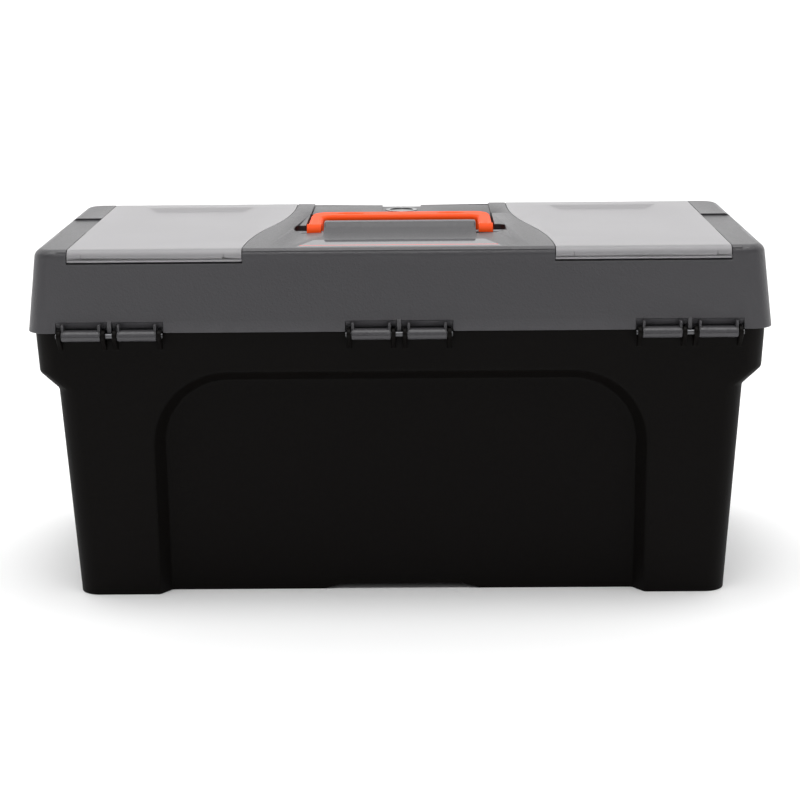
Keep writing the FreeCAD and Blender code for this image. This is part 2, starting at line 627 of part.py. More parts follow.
def add_lid_blocks(body):
    """Solid blocks inside the shell, which the bays, the handle well and the hinge scoops are cut into."""
    skin = "deck - lid_wall / 2"
    edge = "(deck_half_depth - lid_wall / 2)"
    bays, corners = [], []
    for side in SIDES.values():
        bays.append(ordered(f"{side} * (bay_inner - bay_wall)", f"{side} * (bay_outer + bay_wall)")
                    + (f"-1 * {edge}", edge))
        for start in ("bay_inner - bay_wall - trunnion_block", "bay_outer"):
            corners.append(ordered(f"{side} * ({start})", f"{side} * ({start} + trunnion_block + bay_wall)")
                           + ("bay_half_depth", edge))
    slabs(body, bays, "bay_floor - bay_wall", skin)
    slabs(body, corners, "cover_axis_z - trunnion_block", skin)
    slab(body, "-1 * (pocket_half_width + well_side)", "pocket_half_width + well_side",
         "well_front - well_side", "pocket_rear + well_side", "deck - well_depth - well_floor", skin)
    slab(body, "bay_wall - bay_inner", "bay_inner - bay_wall", f"-1 * {edge}", edge,
         "deck - recess_depth - console_skin", skin)
    scoops = [(f"{hinge_centre(side)} - scoop_half_width - scoop_wall",
               f"{hinge_centre(side)} + scoop_half_width + scoop_wall",
               "lid_half_depth - scoop_depth - scoop_wall", "lid_half_depth - scoop_depth + 1")
              for side in HINGES.values()]
    slabs(body, scoops, "lid_low", "lid_low + scoop_height + scoop_wall")


def cut_console(body):
    """The middle of the lid's top: sunk front and rear, the handle well and the bridge behind it."""
    above = "deck + bridge_rise + 1"
    sunk = []
    for level, grow in (("deck - recess_depth", "0"), ("deck + 0.5", "recess_slope")):
        outline = [(f"-1 * (recess_front_half_width + {grow})", "recess_front"),
                   (f"recess_front_half_width + {grow}", "recess_front"),
                   (f"recess_rear_half_width + {grow}", f"recess_rear + {grow} / 3"),
                   (f"-1 * (recess_rear_half_width + {grow})", f"recess_rear + {grow} / 3")]
        sunk.append(polygon(body, "XY", level, outline))
    loft(body, "SubtractiveLoft", sunk)
    bridge = [("bridge_front", "deck - recess_depth - 1"), ("bridge_front", "deck + bridge_rise - 2"),
              ("bridge_crest_front", "deck + bridge_rise"), ("bridge_crest_rear", "deck + bridge_rise"),
              ("bridge_crest_rear + 4", "deck + bridge_rise * 0.4"),
              ("bridge_crest_rear + 12", "deck - recess_depth * 0.4"),
              ("bridge_rear", "deck - recess_depth"), ("bridge_rear", "deck - recess_depth - 1")]
    pad(body, polygon(body, "YZ", "-1 * bridge_half_width", bridge), "2 * bridge_half_width")
    trench(body, "-1 * console_half_width", "console_half_width", "-1 * lid_half_depth", "console_rear",
           "console", above)
    trench(body, "-1 * dip_half_width", "dip_half_width", "-1 * lid_half_depth", "dip_rear",
           "console - dip_depth", above)
    trench(body, "-1 * well_half_width", "well_half_width", "well_front", "bridge_front",
           "deck - well_depth", above)
    pockets = [ordered(f"{side} * bridge_half_width", f"{side} * pocket_half_width")
               + ("pocket_front", "pocket_rear") for side in SIDES.values()]
    trenches(body, pockets, "deck - well_depth", above)
    for side in SIDES.values():
        bore(body, *ordered(f"{side} * (bridge_half_width - handle_pin_seat)",
                            f"{side} * (pocket_half_width + handle_pin_outer_seat)"),
             "handle_axis_y", "handle_axis_z", "handle_pin_radius + pin_fit")
    pocket(body, disc(body, "XY", "console - dip_depth - badge_sink", "0", "badge_y",
                      "badge_radius + badge_gap"), "badge_sink + dip_depth + console_step + 1")


def cut_bays(body):
    """The organizer bays, the seats of their covers and the ribs that hold their dividers."""
    above = "deck + 1"
    rear, front, bays, channels, ribs = [], [], [], [], []
    notch = "cover_axis_y - notch_behind_axis"
    for side in SIDES.values():
        pocket(body, cover_outline(body, "cover_seat", side, "cover_gap"), f"{above} - cover_seat")
        ends = ordered(f"{side} * (cover_rear_inner - cover_gap)", f"{side} * (cover_outer + cover_gap)")
        rear.append(ends + (notch, "lid_half_depth"))
        front.append(ordered(f"{side} * (cover_front_inner - cover_gap)",
                             f"{side} * (cover_outer + cover_gap)")
                     + ("-1 * lid_half_depth", f"-1 * ({notch})"))
        bays.append(ordered(f"{side} * bay_inner", f"{side} * bay_outer")
                    + ("-1 * bay_half_depth", "bay_half_depth"))
        channels.append(ordered(f"{side} * (cover_outer + cover_gap)", f"{side} * (lid_half_length + 1)")
                        + ("channel_front", "channel_rear"))
        for hand in (1, -1):
            wall = f"{hand} * bay_half_depth"
            for offset in ("-1 * (divider_wall / 2 + divider_slack + rib_width)",
                           "divider_wall / 2 + divider_slack"):
                start = f"{side} * (bay_inner + bay_outer) / 2 + {offset}"
                ribs.append((start, f"{start} + rib_width")
                            + ordered(f"{wall} + {hand} * bay_wall / 2", f"{wall} - {hand} * rib_reach"))
    trenches(body, rear, "cover_axis_z - notch_below_axis", above)
    trenches(body, front, "deck - front_skirt - cover_gap", above)
    trenches(body, bays, "bay_floor", above)
    trenches(body, channels, "deck - channel_depth", above)
    slabs(body, ribs, "bay_floor - bay_wall / 2", "cover_seat - divider_drop")
    for side in SIDES.values():
        for start in ("cover_rear_inner - cover_gap - trunnion_reach", "cover_outer + cover_gap - 1"):
            bore(body, *ordered(f"{side} * ({start})", f"{side} * ({start} + trunnion_reach + 1)"),
                 "cover_axis_y", "cover_axis_z", "trunnion_radius + trunnion_fit")


def add_lid_hinges(body):
    """The scoops in the rear wall, with two barrels hanging in each from a web and two gussets."""
    root = "lid_half_depth - scoop_depth - 1"
    scoops = [(f"{hinge_centre(side)} - scoop_half_width", f"{hinge_centre(side)} + scoop_half_width",
               "lid_half_depth - scoop_depth", "lid_half_depth + 1") for side in HINGES.values()]
    trenches(body, scoops, "lid_low", "lid_low + scoop_height")
    webs, gussets, ribs = [], [], []
    for side in HINGES.values():
        middle = hinge_centre(side)
        for hand in (1, -1):
            start = f"{middle} + {hand} * barrel_inner" + (" - barrel_length" if hand < 0 else "")
            rod(body, start, f"{start} + barrel_length", "hinge_y", "hinge_z", "barrel_radius")
            webs.append((start, f"{start} + barrel_length", root, "hinge_y"))
            for shift in ("0", "barrel_length - gusset_width"):
                gussets.append((f"{start} + {shift}", f"{start} + {shift} + gusset_width", root,
                                "hinge_y + barrel_radius / 2"))
        ribs.append((f"{middle} - centre_rib_width / 2", f"{middle} + centre_rib_width / 2", root,
                     "lid_half_depth"))
    slabs(body, webs, "lid_low", "hinge_z + barrel_radius")
    slabs(body, gussets, "lid_low", "lid_low + gusset_height")
    slabs(body, ribs, "lid_low", "lid_low + scoop_height + 1")
    bore(body, "-1 * (hinge_spacing + scoop_half_width)", "hinge_spacing + scoop_half_width", "hinge_y",
         "hinge_z", "hinge_pin_radius + pin_fit")


def build_cover(label, side):
    body = new_body(label)
    pad(body, cover_outline(body, "cover_axis_z - skirt_below_axis", side, "0"),
        "deck - cover_axis_z + skirt_below_axis")
    rear = lid_depth("cover_axis_z") + " - skirt_inset"
    # trimmed to the lid's front and rear faces, then hollowed so that a skirt is left at both
    for hand in (1, -1):
        ends = ordered(f"{hand} * ({rear})", f"{hand} * (deck_half_depth + 30)")
        trench(body, f"{side} * (cover_outer + cover_front_inner) / 2 - cover_outer",
               f"{side} * (cover_outer + cover_front_inner) / 2 + cover_outer", ends[0], ends[1],
               "cover_axis_z - skirt_below_axis - 1", "deck + 1")
    edges = (number("deck"), number(rear))
    fillet(body, "deck_edge_radius", lambda edge: spans(edge, 0) > 20 and flat_at(edge, 2, edges[0])
           and (flat_at(edge, 1, edges[1]) or flat_at(edge, 1, -edges[1])))
    wide = "cover_outer"
    trench(body, f"-1 * {wide} - 1", f"{wide} + 1", f"-1 * ({rear} - skirt_wall)", f"{rear} - skirt_wall",
           "cover_axis_z - skirt_below_axis", "deck - cover_wall")
    trench(body, f"-1 * {wide} - 1", f"{wide} + 1", "-1 * lid_half_depth", "0",
           "cover_axis_z - skirt_below_axis", "deck - front_skirt")
    # the dished panel: its backing below the plate, then the dish, deepest at the front
    ends = ordered(f"{side} * dish_inner", f"{side} * dish_outer")
    grown = ordered(f"{side} * (dish_inner - cover_wall)", f"{side} * (dish_outer + cover_wall)")
    under = [("dish_front - cover_wall", "deck - cover_wall / 2"), ("dish_rear", "deck - cover_wall / 2"),
             ("dish_rear", "deck - cover_wall"),
             ("dish_front - cover_wall", "deck - cover_wall - dish_depth")]
    pad(body, polygon(body, "YZ", grown[0], under), f"{grown[1]} - ({grown[0]})")
    dish = [("dish_front", "deck + 1"), ("dish_rear", "deck + 1"), ("dish_rear", "deck"),
            ("dish_front", "deck - dish_depth")]
    pocket(body, polygon(body, "YZ", ends[0], dish), f"{ends[1]} - ({ends[0]})")
    for start, reach in (("cover_rear_inner - trunnion_reach", "trunnion_reach + 1"),
                         ("cover_outer - 1", "trunnion_reach + 1")):
        ends = ordered(f"{side} * ({start})", f"{side} * ({start} + {reach})")
        rod(body, ends[0], ends[1], "cover_axis_y", "cover_axis_z", "trunnion_radius")


def build_dividers(side_name, side):
    """One long divider down the middle of a bay, and one short divider in each half of it."""
    low = "bay_floor + divider_slack"
    high = "cover_seat - divider_drop"
    centre = f"{side} * (bay_inner + bay_outer) / 2"
    long_one = new_body(f"divider_long_{side_name}")
    slab(long_one, f"{centre} - divider_wall / 2", f"{centre} + divider_wall / 2",
         "divider_slack - bay_half_depth", "bay_half_depth - divider_slack", low, high)
    for hand in (1, -1):
        collar = ordered(f"{centre} + {hand} * divider_wall / 2 - {hand} * 0.2",
                         f"{centre} + {hand} * (divider_wall / 2 + rib_reach)")
        clear = "(divider_wall / 2 + divider_slack)"
        for shift in (f"-1 * ({clear} + rib_width)", clear):
            slab(long_one, collar[0], collar[1], shift, f"{shift} + rib_width", low, high)
    for name, first, last in (
            ("inner", f"{side} * (bay_inner + divider_slack)",
             f"{side} * ((bay_inner + bay_outer) / 2 - divider_wall / 2 - divider_slack)"),
            ("outer", f"{side} * ((bay_inner + bay_outer) / 2 + divider_wall / 2 + divider_slack)",
             f"{side} * (bay_outer - divider_slack)")):
        short = new_body(f"divider_short_{name}_{side_name}")
        ends = ordered(first, last)
        slab(short, ends[0], ends[1], "-1 * divider_wall / 2", "divider_wall / 2", low, high)


def build_handle():
    body = new_body("handle")
    top = "deck + handle_rise"
    low = f"{top} - handle_thickness"
    outline = [("-1 * arm_outer", "grip_front"), ("arm_outer", "grip_front"), ("arm_outer", "handle_axis_y"),
               ("arm_inner", "handle_axis_y"), ("arm_inner", "grip_rear"), ("-1 * arm_inner", "grip_rear"),
               ("-1 * arm_inner", "handle_axis_y"), ("-1 * arm_outer", "handle_axis_y")]
    pad(body, polygon(body, "XY", low, outline), "handle_thickness")
    places = {name: number(name) for name in ("grip_front", "grip_rear", "handle_axis_y")}
    fillet(body, "handle_corner_radius", lambda edge: spans(edge, 2) > 10
           and flat_at(edge, 1, places["grip_front"]))
    fillet(body, "handle_inner_radius", lambda edge: spans(edge, 2) > 10
           and flat_at(edge, 1, places["grip_rear"]))
    fillet(body, "handle_edge_radius", lambda edge: spans(edge, 2) < 0.01
           and not flat_at(edge, 1, places["handle_axis_y"]))
    for side in SIDES.values():
        ends = ordered(f"{side} * arm_inner", f"{side} * arm_outer")
        rod(body, ends[0], ends[1], "handle_axis_y", "handle_axis_z", "eye_radius")
    bore(body, "-1 * arm_outer", "arm_outer", "handle_axis_y", "handle_axis_z", "handle_pin_radius + pin_fit")
    for side_name, side in SIDES.items():
        pin = new_body(f"handle_pin_{side_name}")
        ends = ordered(f"{side} * (bridge_half_width - handle_pin_seat + pin_fit)",
                       f"{side} * (pocket_half_width + handle_pin_outer_seat - pin_fit)")
        rod(pin, ends[0], ends[1], "handle_axis_y", "handle_axis_z", "handle_pin_radius")


def build_hinge_pins():
    """One steel pin to each hinge set, through its four ears and two barrels."""
    reach = "(barrel_inner + barrel_length + ear_gap + ear_width + pin_overhang)"
    for name, side in HINGES.items():
        body = new_body(f"hinge_pin_{name}")
        centre = hinge_centre(side)
        rod(body, f"{centre} - {reach}", f"{centre} + {reach}", "hinge_y", "hinge_z", "hinge_pin_radius")


def build_latches():
    """Over-centre plates that hang from pins on the lid and hook under keepers on the tub."""
    for name, side in SIDES.items():
        body = new_body(f"latch_{name}")
        middle = f"{side} * latch_offset"
        start = f"{middle} - latch_half_width"
        rod(body, start, f"{start} + 2 * latch_half_width", "latch_y", "latch_z", "latch_barrel_radius")
        back = "latch_plate - latch_front"
        plate = [("-1 * latch_front", "latch_low"), (f"{back} + 1.5", "latch_low + 3"),
                 (f"{back} + 1.5", "latch_low + 6"), (back, "latch_low + 9"),
                 (back, "hook_top - hook_height"), (f"{back} + hook_reach", "hook_top - hook_height / 2"),
                 (f"{back} + hook_reach", "hook_top"), (back, "hook_top"), (back, "latch_z - 5"),
                 ("latch_y", "latch_z - latch_barrel_radius"), ("latch_y", "latch_z"),
                 ("-1 * latch_front + 0.6", "latch_z"), ("-1 * latch_front", "latch_z - 6")]
        pad(body, polygon(body, "YZ", start, plate), "2 * latch_half_width")
        low = number("latch_low")
        front = -number("latch_front")
        fillet(body, "latch_plate / 2 - 0.4", lambda edge: spans(edge, 0) > 10
               and abs(edge.CenterOfMass.z - low) < 0.5 and abs(edge.CenterOfMass.y - front) < 0.5)
        bore(body, start, f"{start} + 2 * latch_half_width", "latch_y", "latch_z",
             "latch_pin_radius + pin_fit")
        pin = new_body(f"latch_pin_{name}")
        reach = "(latch_half_width + latch_ear_gap + latch_ear_width + 0.8)"
        rod(pin, f"{middle} - {reach}", f"{middle} + {reach}", "latch_y", "latch_z", "latch_pin_radius")


def build_tray():
    body = new_body("tray")
    shelf = "shoulder_high + seat_gap"
    low = rounded_rectangle(body, "tray_low", "tray_basin_half_length - tray_draft",
                            "tray_half_depth - tray_draft", "tray_corner_radius")
    high = rounded_rectangle(body, "tray_rim", "tray_basin_half_length", "tray_half_depth",
                             "tray_corner_radius")
    loft(body, "AdditiveLoft", [low, high])
    wings = rounded_rectangle(body, shelf, "tray_half_length", "tray_half_depth", "tray_corner_radius")
    pad(body, wings, f"tray_rim - ({shelf})")
    inner_radius = "tray_corner_radius - tray_wall"
    low_length = "tray_basin_half_length - tray_draft - tray_wall"
    low_depth = "tray_half_depth - tray_draft - tray_wall"
    well_low = rounded_rectangle(body, "tray_low + tray_wall", low_length, low_depth, inner_radius)
    well_high = rounded_rectangle(body, "tray_rim", "tray_basin_half_length - tray_wall",
                                  "tray_half_depth - tray_wall", inner_radius)
    loft(body, "SubtractiveLoft", [well_low, well_high])
    bin_half = "tray_half_depth - tray_wall - bin_inset"
    for side in SIDES.values():
        ends = ordered(f"{side} * (tray_basin_half_length + tray_wall / 2)",
                       f"{side} * (tray_half_length - tray_wall)")
        trench(body, ends[0], ends[1], f"-1 * ({bin_half})", bin_half, f"{shelf} + tray_wall",
               "tray_rim + 1")
    high_z = "tray_low + tray_partition_height"
    reach_x = "tray_basin_half_length - tray_wall"
    slab(body, f"-1 * ({reach_x} - tray_draft / 4)", f"{reach_x} - tray_draft / 4", "-1 * tray_wall / 2",
         "tray_wall / 2", "tray_low + tray_wall / 2", high_z)
    for side in SIDES.values():
        slab(body, f"{side} * tray_cross - tray_wall / 2", f"{side} * tray_cross + tray_wall / 2",
             "tray_wall / 2 - tray_half_depth + tray_draft / 2",
             "tray_half_depth - tray_wall / 2 - tray_draft / 2", "tray_low + tray_wall / 2", high_z)
    grip = new_body("tray_handle")
    bar_low = "tray_grip_top - tray_grip_bar"
    slab(grip, "-1 * tray_grip_half_length", "tray_grip_half_length", "-1 * tray_grip_half_width",
         "tray_grip_half_width", bar_low, "tray_grip_top")
    for side in SIDES.values():
        ends = ordered(f"{side} * tray_grip_half_length",
                       f"{side} * (tray_grip_half_length - tray_post_length)")
        slab(grip, ends[0], ends[1], "-1 * tray_grip_half_width", "tray_grip_half_width",
             f"{high_z} - tray_post_bite", f"{bar_low} + 1")
    crest = number("tray_grip_top")
    fillet(grip, "tray_grip_edge", lambda edge: flat_at(edge, 2, crest))
    for side in SIDES.values():
        ends = ordered(f"{side} * (tray_grip_half_length + 1)",
                       f"{side} * (tray_grip_half_length - tray_post_length - 1)")
        trench(grip, ends[0], ends[1], "-1 * (tray_wall / 2 + tray_clip_gap)", "tray_wall / 2 + tray_clip_gap",
               f"{high_z} - tray_post_bite - 1", f"{high_z} + tray_clip_gap")


def build_trim():
    label = new_body("label")
    outline = [("-1 * label_front_half_width", "label_front"), ("label_front_half_width", "label_front"),
               ("label_rear_half_width", "label_rear"), ("-1 * label_rear_half_width", "label_rear")]
    pad(label, polygon(label, "XY", "deck - recess_depth", outline), "label_thickness")
    badge = new_body("badge")
    floor = "console - dip_depth - badge_sink"
    pad(badge, disc(badge, "XY", floor, "0", "badge_y", "badge_radius"), "badge_thickness")
    pocket(badge, disc(badge, "XY", f"{floor} + badge_thickness / 2", "0", "badge_y", "badge_radius - 3.5"),
           "badge_thickness")


build_tub()
build_lid()
for cover_side, direction in SIDES.items():
    build_cover(f"organizer_cover_{cover_side}", direction)
    build_dividers(cover_side, direction)
build_handle()
build_hinge_pins()
build_latches()
build_tray()
build_trim()
doc.recompute()

for item in doc.Objects:
    if {"Invalid", "Error"} & set(item.State):
        raise RuntimeError(f"{item.Label}: {item.State}")
    if item.isDerivedFrom("PartDesign::Pocket") and item.Shape.Volume >= item.BaseFeature.Shape.Volume:
        raise RuntimeError(f"{item.Label} cuts nothing")
for label, part in sub_parts.items():
    shape = part.Shape
    if shape.isNull() or not shape.isValid():
        raise RuntimeError(f"{label} has no valid shape")
    if len(shape.Solids) != 1:
        raise RuntimeError(f"{label} is {len(shape.Solids)} solids, not one")

os.makedirs("parts", exist_ok=True)
for label, part in sub_parts.items():
    part.Shape.exportStep(f"parts/{label}.step")
    print(f"{label}: {part.Shape.Volume / 1000:.1f} cm3")
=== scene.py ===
"""The looks of a long toolbox with clear organizer covers and a lift-out tray, built round its frame.

Lengths are metres. +Z is up, +X runs along the box, the hinges are at +Y and the latches at -Y.
"""
import logging
import math
from contextlib import contextmanager
from dataclasses import dataclass, field
from enum import Enum
from typing import Callable, Iterator

import bmesh
import bpy
from mathutils import Matrix, Vector
from mathutils.bvhtree import BVHTree


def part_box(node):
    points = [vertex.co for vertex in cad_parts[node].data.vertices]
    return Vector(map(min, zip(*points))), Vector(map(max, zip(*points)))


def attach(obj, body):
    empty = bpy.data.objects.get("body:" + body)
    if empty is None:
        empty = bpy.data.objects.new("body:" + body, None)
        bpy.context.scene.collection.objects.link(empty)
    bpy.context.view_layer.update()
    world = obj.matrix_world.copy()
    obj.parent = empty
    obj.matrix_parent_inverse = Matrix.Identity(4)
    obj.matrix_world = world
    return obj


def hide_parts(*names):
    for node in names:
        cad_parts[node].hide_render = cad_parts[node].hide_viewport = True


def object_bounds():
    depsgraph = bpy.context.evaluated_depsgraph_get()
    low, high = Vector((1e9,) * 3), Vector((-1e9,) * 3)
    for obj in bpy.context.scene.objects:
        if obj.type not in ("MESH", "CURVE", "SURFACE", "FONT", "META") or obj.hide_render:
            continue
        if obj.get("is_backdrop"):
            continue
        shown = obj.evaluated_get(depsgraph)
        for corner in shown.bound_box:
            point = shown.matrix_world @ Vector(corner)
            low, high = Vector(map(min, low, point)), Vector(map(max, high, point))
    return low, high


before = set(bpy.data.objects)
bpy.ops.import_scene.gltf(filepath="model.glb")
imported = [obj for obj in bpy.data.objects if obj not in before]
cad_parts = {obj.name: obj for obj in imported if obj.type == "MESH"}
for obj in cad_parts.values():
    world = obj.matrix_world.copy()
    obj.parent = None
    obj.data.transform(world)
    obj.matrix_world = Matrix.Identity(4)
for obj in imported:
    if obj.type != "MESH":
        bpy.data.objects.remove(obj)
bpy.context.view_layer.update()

MM = 0.001
LOG = logging.getLogger("toolbox")

Colour = tuple[float, float, float]


def linear(red: int, green: int, blue: int) -> Colour:
    """Turn a display colour into the linear values that shaders take.

    Args:
        red: The red channel, 0 to 255.
        green: The green channel, 0 to 255.
        blue: The blue channel, 0 to 255.

    Returns:
        The three linear channels, 0 to 1.
    """
    def channel(value: int) -> float:
        """Undo the display curve of one channel."""
        share = value / 255
        return share / 12.92 if share <= 0.04045 else ((share + 0.055) / 1.055) ** 2.4
    return channel(red), channel(green), channel(blue)


class Side(Enum):
    """The two ends of the box, each with its direction along X."""

    LEFT = 1
    RIGHT = -1

    @property
    def word(self) -> str:
        """The side's name as the nodes and bodies write it."""
        return self.name.lower()


class Edge(Enum):
    """How sharply a moulding's edges turn, as the least and greatest angle between the two faces."""

    SOFT = (math.radians(32), math.radians(66))
    CRISP = (math.radians(66), math.radians(181))

    def holds(self, angle: float) -> bool:
        """True for an edge whose faces meet at this kind of angle."""
        return self.value[0] <= angle < self.value[1]


# ---------------------------------------------------------------------------------------------
# Shader node groups, each built once
# ---------------------------------------------------------------------------------------------
@dataclass
class Effects:
    """Builds the shader node groups that the finishes share."""

    built: dict[str, bpy.types.NodeTree] = field(default_factory=dict)

    def group(self, name: str, inputs: dict[str, str], outputs: dict[str, str],
              fill: Callable[[bpy.types.NodeTree, bpy.types.Node, bpy.types.Node], None]
              ) -> bpy.types.NodeTree:
        """Return the named group, and build it the first time.

        Args:
            name: The group's name.
            inputs: Socket names and types that the group takes.
            outputs: Socket names and types that the group gives.
            fill: Adds the nodes between the group's input node and its output node.

        Returns:
            The node group.
        """
        if name in self.built:
            return self.built[name]
        tree = bpy.data.node_groups.new(name, "ShaderNodeTree")
        for socket, kind in inputs.items():
            tree.interface.new_socket(name=socket, in_out="INPUT", socket_type=kind)
        for socket, kind in outputs.items():
            tree.interface.new_socket(name=socket, in_out="OUTPUT", socket_type=kind)
        fill(tree, tree.nodes.new("NodeGroupInput"), tree.nodes.new("NodeGroupOutput"))
        self.built[name] = tree
        return tree

    def grain(self) -> bpy.types.NodeTree:
        """The fine spark-eroded texture of moulded plastic, as a height and a mask."""
        def fill(tree: bpy.types.NodeTree, given: bpy.types.Node, result: bpy.types.Node) -> None:
            """Mix two sizes of cell with a fine noise."""
            place = tree.nodes.new("ShaderNodeTexCoord")
            cells = tree.nodes.new("ShaderNodeTexVoronoi")
            cells.feature = "SMOOTH_F1"
            noise = tree.nodes.new("ShaderNodeTexNoise")
            noise.inputs["Detail"].default_value = 3.0
            double = math_node(tree, "MULTIPLY", given.outputs["Scale"], 1.9)
            tree.links.new(place.outputs["Object"], cells.inputs["Vector"])
            tree.links.new(place.outputs["Object"], noise.inputs["Vector"])
            tree.links.new(given.outputs["Scale"], cells.inputs["Scale"])
            tree.links.new(double, noise.inputs["Scale"])
            blend = math_node(tree, "ADD", cells.outputs["Distance"], noise.outputs["Fac"])
            half = math_node(tree, "MULTIPLY", blend, 0.5)
            tree.links.new(math_node(tree, "MULTIPLY", half, given.outputs["Depth"]),
                           result.inputs["Height"])
            tree.links.new(half, result.inputs["Mask"])
        return self.group("moulded_grain", {"Scale": "NodeSocketFloat", "Depth": "NodeSocketFloat"},
                          {"Height": "NodeSocketFloat", "Mask": "NodeSocketFloat"}, fill)

    def mottle(self) -> bpy.types.NodeTree:
        """Slow flow marks in a moulding: the colour drifts a little lighter and darker."""
        def fill(tree: bpy.types.NodeTree, given: bpy.types.Node, result: bpy.types.Node) -> None:
            """Drive a brightness change with a stretched noise."""
            place = tree.nodes.new("ShaderNodeTexCoord")
            stretch = tree.nodes.new("ShaderNodeMapping")
            stretch.inputs["Scale"].default_value = (0.5, 1.0, 1.6)
            noise = tree.nodes.new("ShaderNodeTexNoise")
            noise.inputs["Detail"].default_value = 5.0
            tree.links.new(place.outputs["Object"], stretch.inputs["Vector"])
            tree.links.new(stretch.outputs["Vector"], noise.inputs["Vector"])
            tree.links.new(given.outputs["Scale"], noise.inputs["Scale"])
            drift = math_node(tree, "SUBTRACT", noise.outputs["Fac"], 0.5)
            change = math_node(tree, "MULTIPLY", drift, given.outputs["Amount"])
            gain = math_node(tree, "ADD", change, 1.0)
            tint = tree.nodes.new("ShaderNodeVectorMath")
            tint.operation = "SCALE"
            tree.links.new(given.outputs["Color"], tint.inputs[0])
            tree.links.new(gain, tint.inputs["Scale"])
            tree.links.new(tint.outputs["Vector"], result.inputs["Color"])
            tree.links.new(noise.outputs["Fac"], result.inputs["Mask"])
        return self.group("flow_mottle", {"Color": "NodeSocketColor", "Amount": "NodeSocketFloat",
                                          "Scale": "NodeSocketFloat"},
                          {"Color": "NodeSocketColor", "Mask": "NodeSocketFloat"}, fill)

    def wear(self) -> bpy.types.NodeTree:
        """Rubbed edges: a mask on convex edges, broken up by noise, and the colour that it shows."""
        def fill(tree: bpy.types.NodeTree, given: bpy.types.Node, result: bpy.types.Node) -> None:
            """Read how far the surface stands proud and break the line up."""
            surface = tree.nodes.new("ShaderNodeNewGeometry")
            edges = tree.nodes.new("ShaderNodeMapRange")
            edges.inputs["From Min"].default_value = 0.52
            edges.inputs["From Max"].default_value = 0.62
            place = tree.nodes.new("ShaderNodeTexCoord")
            noise = tree.nodes.new("ShaderNodeTexNoise")
            noise.inputs["Scale"].default_value = 90.0
            noise.inputs["Detail"].default_value = 6.0
            tree.links.new(place.outputs["Object"], noise.inputs["Vector"])
            tree.links.new(surface.outputs["Pointiness"], edges.inputs["Value"])
            broken = math_node(tree, "MULTIPLY", edges.outputs["Result"], noise.outputs["Fac"])
            mask = math_node(tree, "MULTIPLY", broken, given.outputs["Amount"])
            blend = tree.nodes.new("ShaderNodeMix")
            blend.data_type = "RGBA"
            tree.links.new(mask, blend.inputs[0])
            tree.links.new(given.outputs["Color"], blend.inputs[6])
            tree.links.new(given.outputs["Worn"], blend.inputs[7])
            tree.links.new(blend.outputs[2], result.inputs["Color"])
            tree.links.new(mask, result.inputs["Mask"])
        return self.group("edge_wear", {"Color": "NodeSocketColor", "Worn": "NodeSocketColor",
                                        "Amount": "NodeSocketFloat"},
                          {"Color": "NodeSocketColor", "Mask": "NodeSocketFloat"}, fill)

    def dust(self) -> bpy.types.NodeTree:
        """A breath of pale dust on faces that look up."""
        def fill(tree: bpy.types.NodeTree, given: bpy.types.Node, result: bpy.types.Node) -> None:
            """Mask by how far the face looks up, in soft patches."""
            surface = tree.nodes.new("ShaderNodeNewGeometry")
            parts = tree.nodes.new("ShaderNodeSeparateXYZ")
            place = tree.nodes.new("ShaderNodeTexCoord")
            noise = tree.nodes.new("ShaderNodeTexNoise")
            noise.inputs["Scale"].default_value = 22.0
            noise.inputs["Detail"].default_value = 8.0
            noise.inputs["Roughness"].default_value = 0.7
            tree.links.new(place.outputs["Object"], noise.inputs["Vector"])
            tree.links.new(surface.outputs["Normal"], parts.inputs["Vector"])
            up = math_node(tree, "MAXIMUM", parts.outputs["Z"], 0.0)
            patch = math_node(tree, "MULTIPLY", up, noise.outputs["Fac"])
            mask = math_node(tree, "MULTIPLY", patch, given.outputs["Amount"])
            blend = tree.nodes.new("ShaderNodeMix")
            blend.data_type = "RGBA"
            blend.inputs[7].default_value = (*linear(196, 192, 186), 1)
            tree.links.new(mask, blend.inputs[0])
            tree.links.new(given.outputs["Color"], blend.inputs[6])
            tree.links.new(blend.outputs[2], result.inputs["Color"])
            rough = math_node(tree, "MULTIPLY", mask, 0.6)
            tree.links.new(math_node(tree, "ADD", given.outputs["Roughness"], rough),
                           result.inputs["Roughness"])
        return self.group("settled_dust", {"Color": "NodeSocketColor", "Roughness": "NodeSocketFloat",
                                           "Amount": "NodeSocketFloat"},
                          {"Color": "NodeSocketColor", "Roughness": "NodeSocketFloat"}, fill)

    def drawn(self) -> bpy.types.NodeTree:
        """The lengthwise lines of drawn wire, as a roughness and a height."""
        def fill(tree: bpy.types.NodeTree, given: bpy.types.Node, result: bpy.types.Node) -> None:
            """Stretch a noise along the pin."""
            place = tree.nodes.new("ShaderNodeTexCoord")
            stretch = tree.nodes.new("ShaderNodeMapping")
            stretch.inputs["Scale"].default_value = (30.0, 900.0, 900.0)
            noise = tree.nodes.new("ShaderNodeTexNoise")
            tree.links.new(place.outputs["Object"], stretch.inputs["Vector"])
            tree.links.new(stretch.outputs["Vector"], noise.inputs["Vector"])
            spread = math_node(tree, "MULTIPLY", noise.outputs["Fac"], 0.25)
            tree.links.new(math_node(tree, "ADD", given.outputs["Roughness"], spread),
                           result.inputs["Roughness"])
            tree.links.new(math_node(tree, "MULTIPLY", noise.outputs["Fac"], 0.00002),
                           result.inputs["Height"])
        return self.group("drawn_wire", {"Roughness": "NodeSocketFloat"},
                          {"Roughness": "NodeSocketFloat", "Height": "NodeSocketFloat"}, fill)


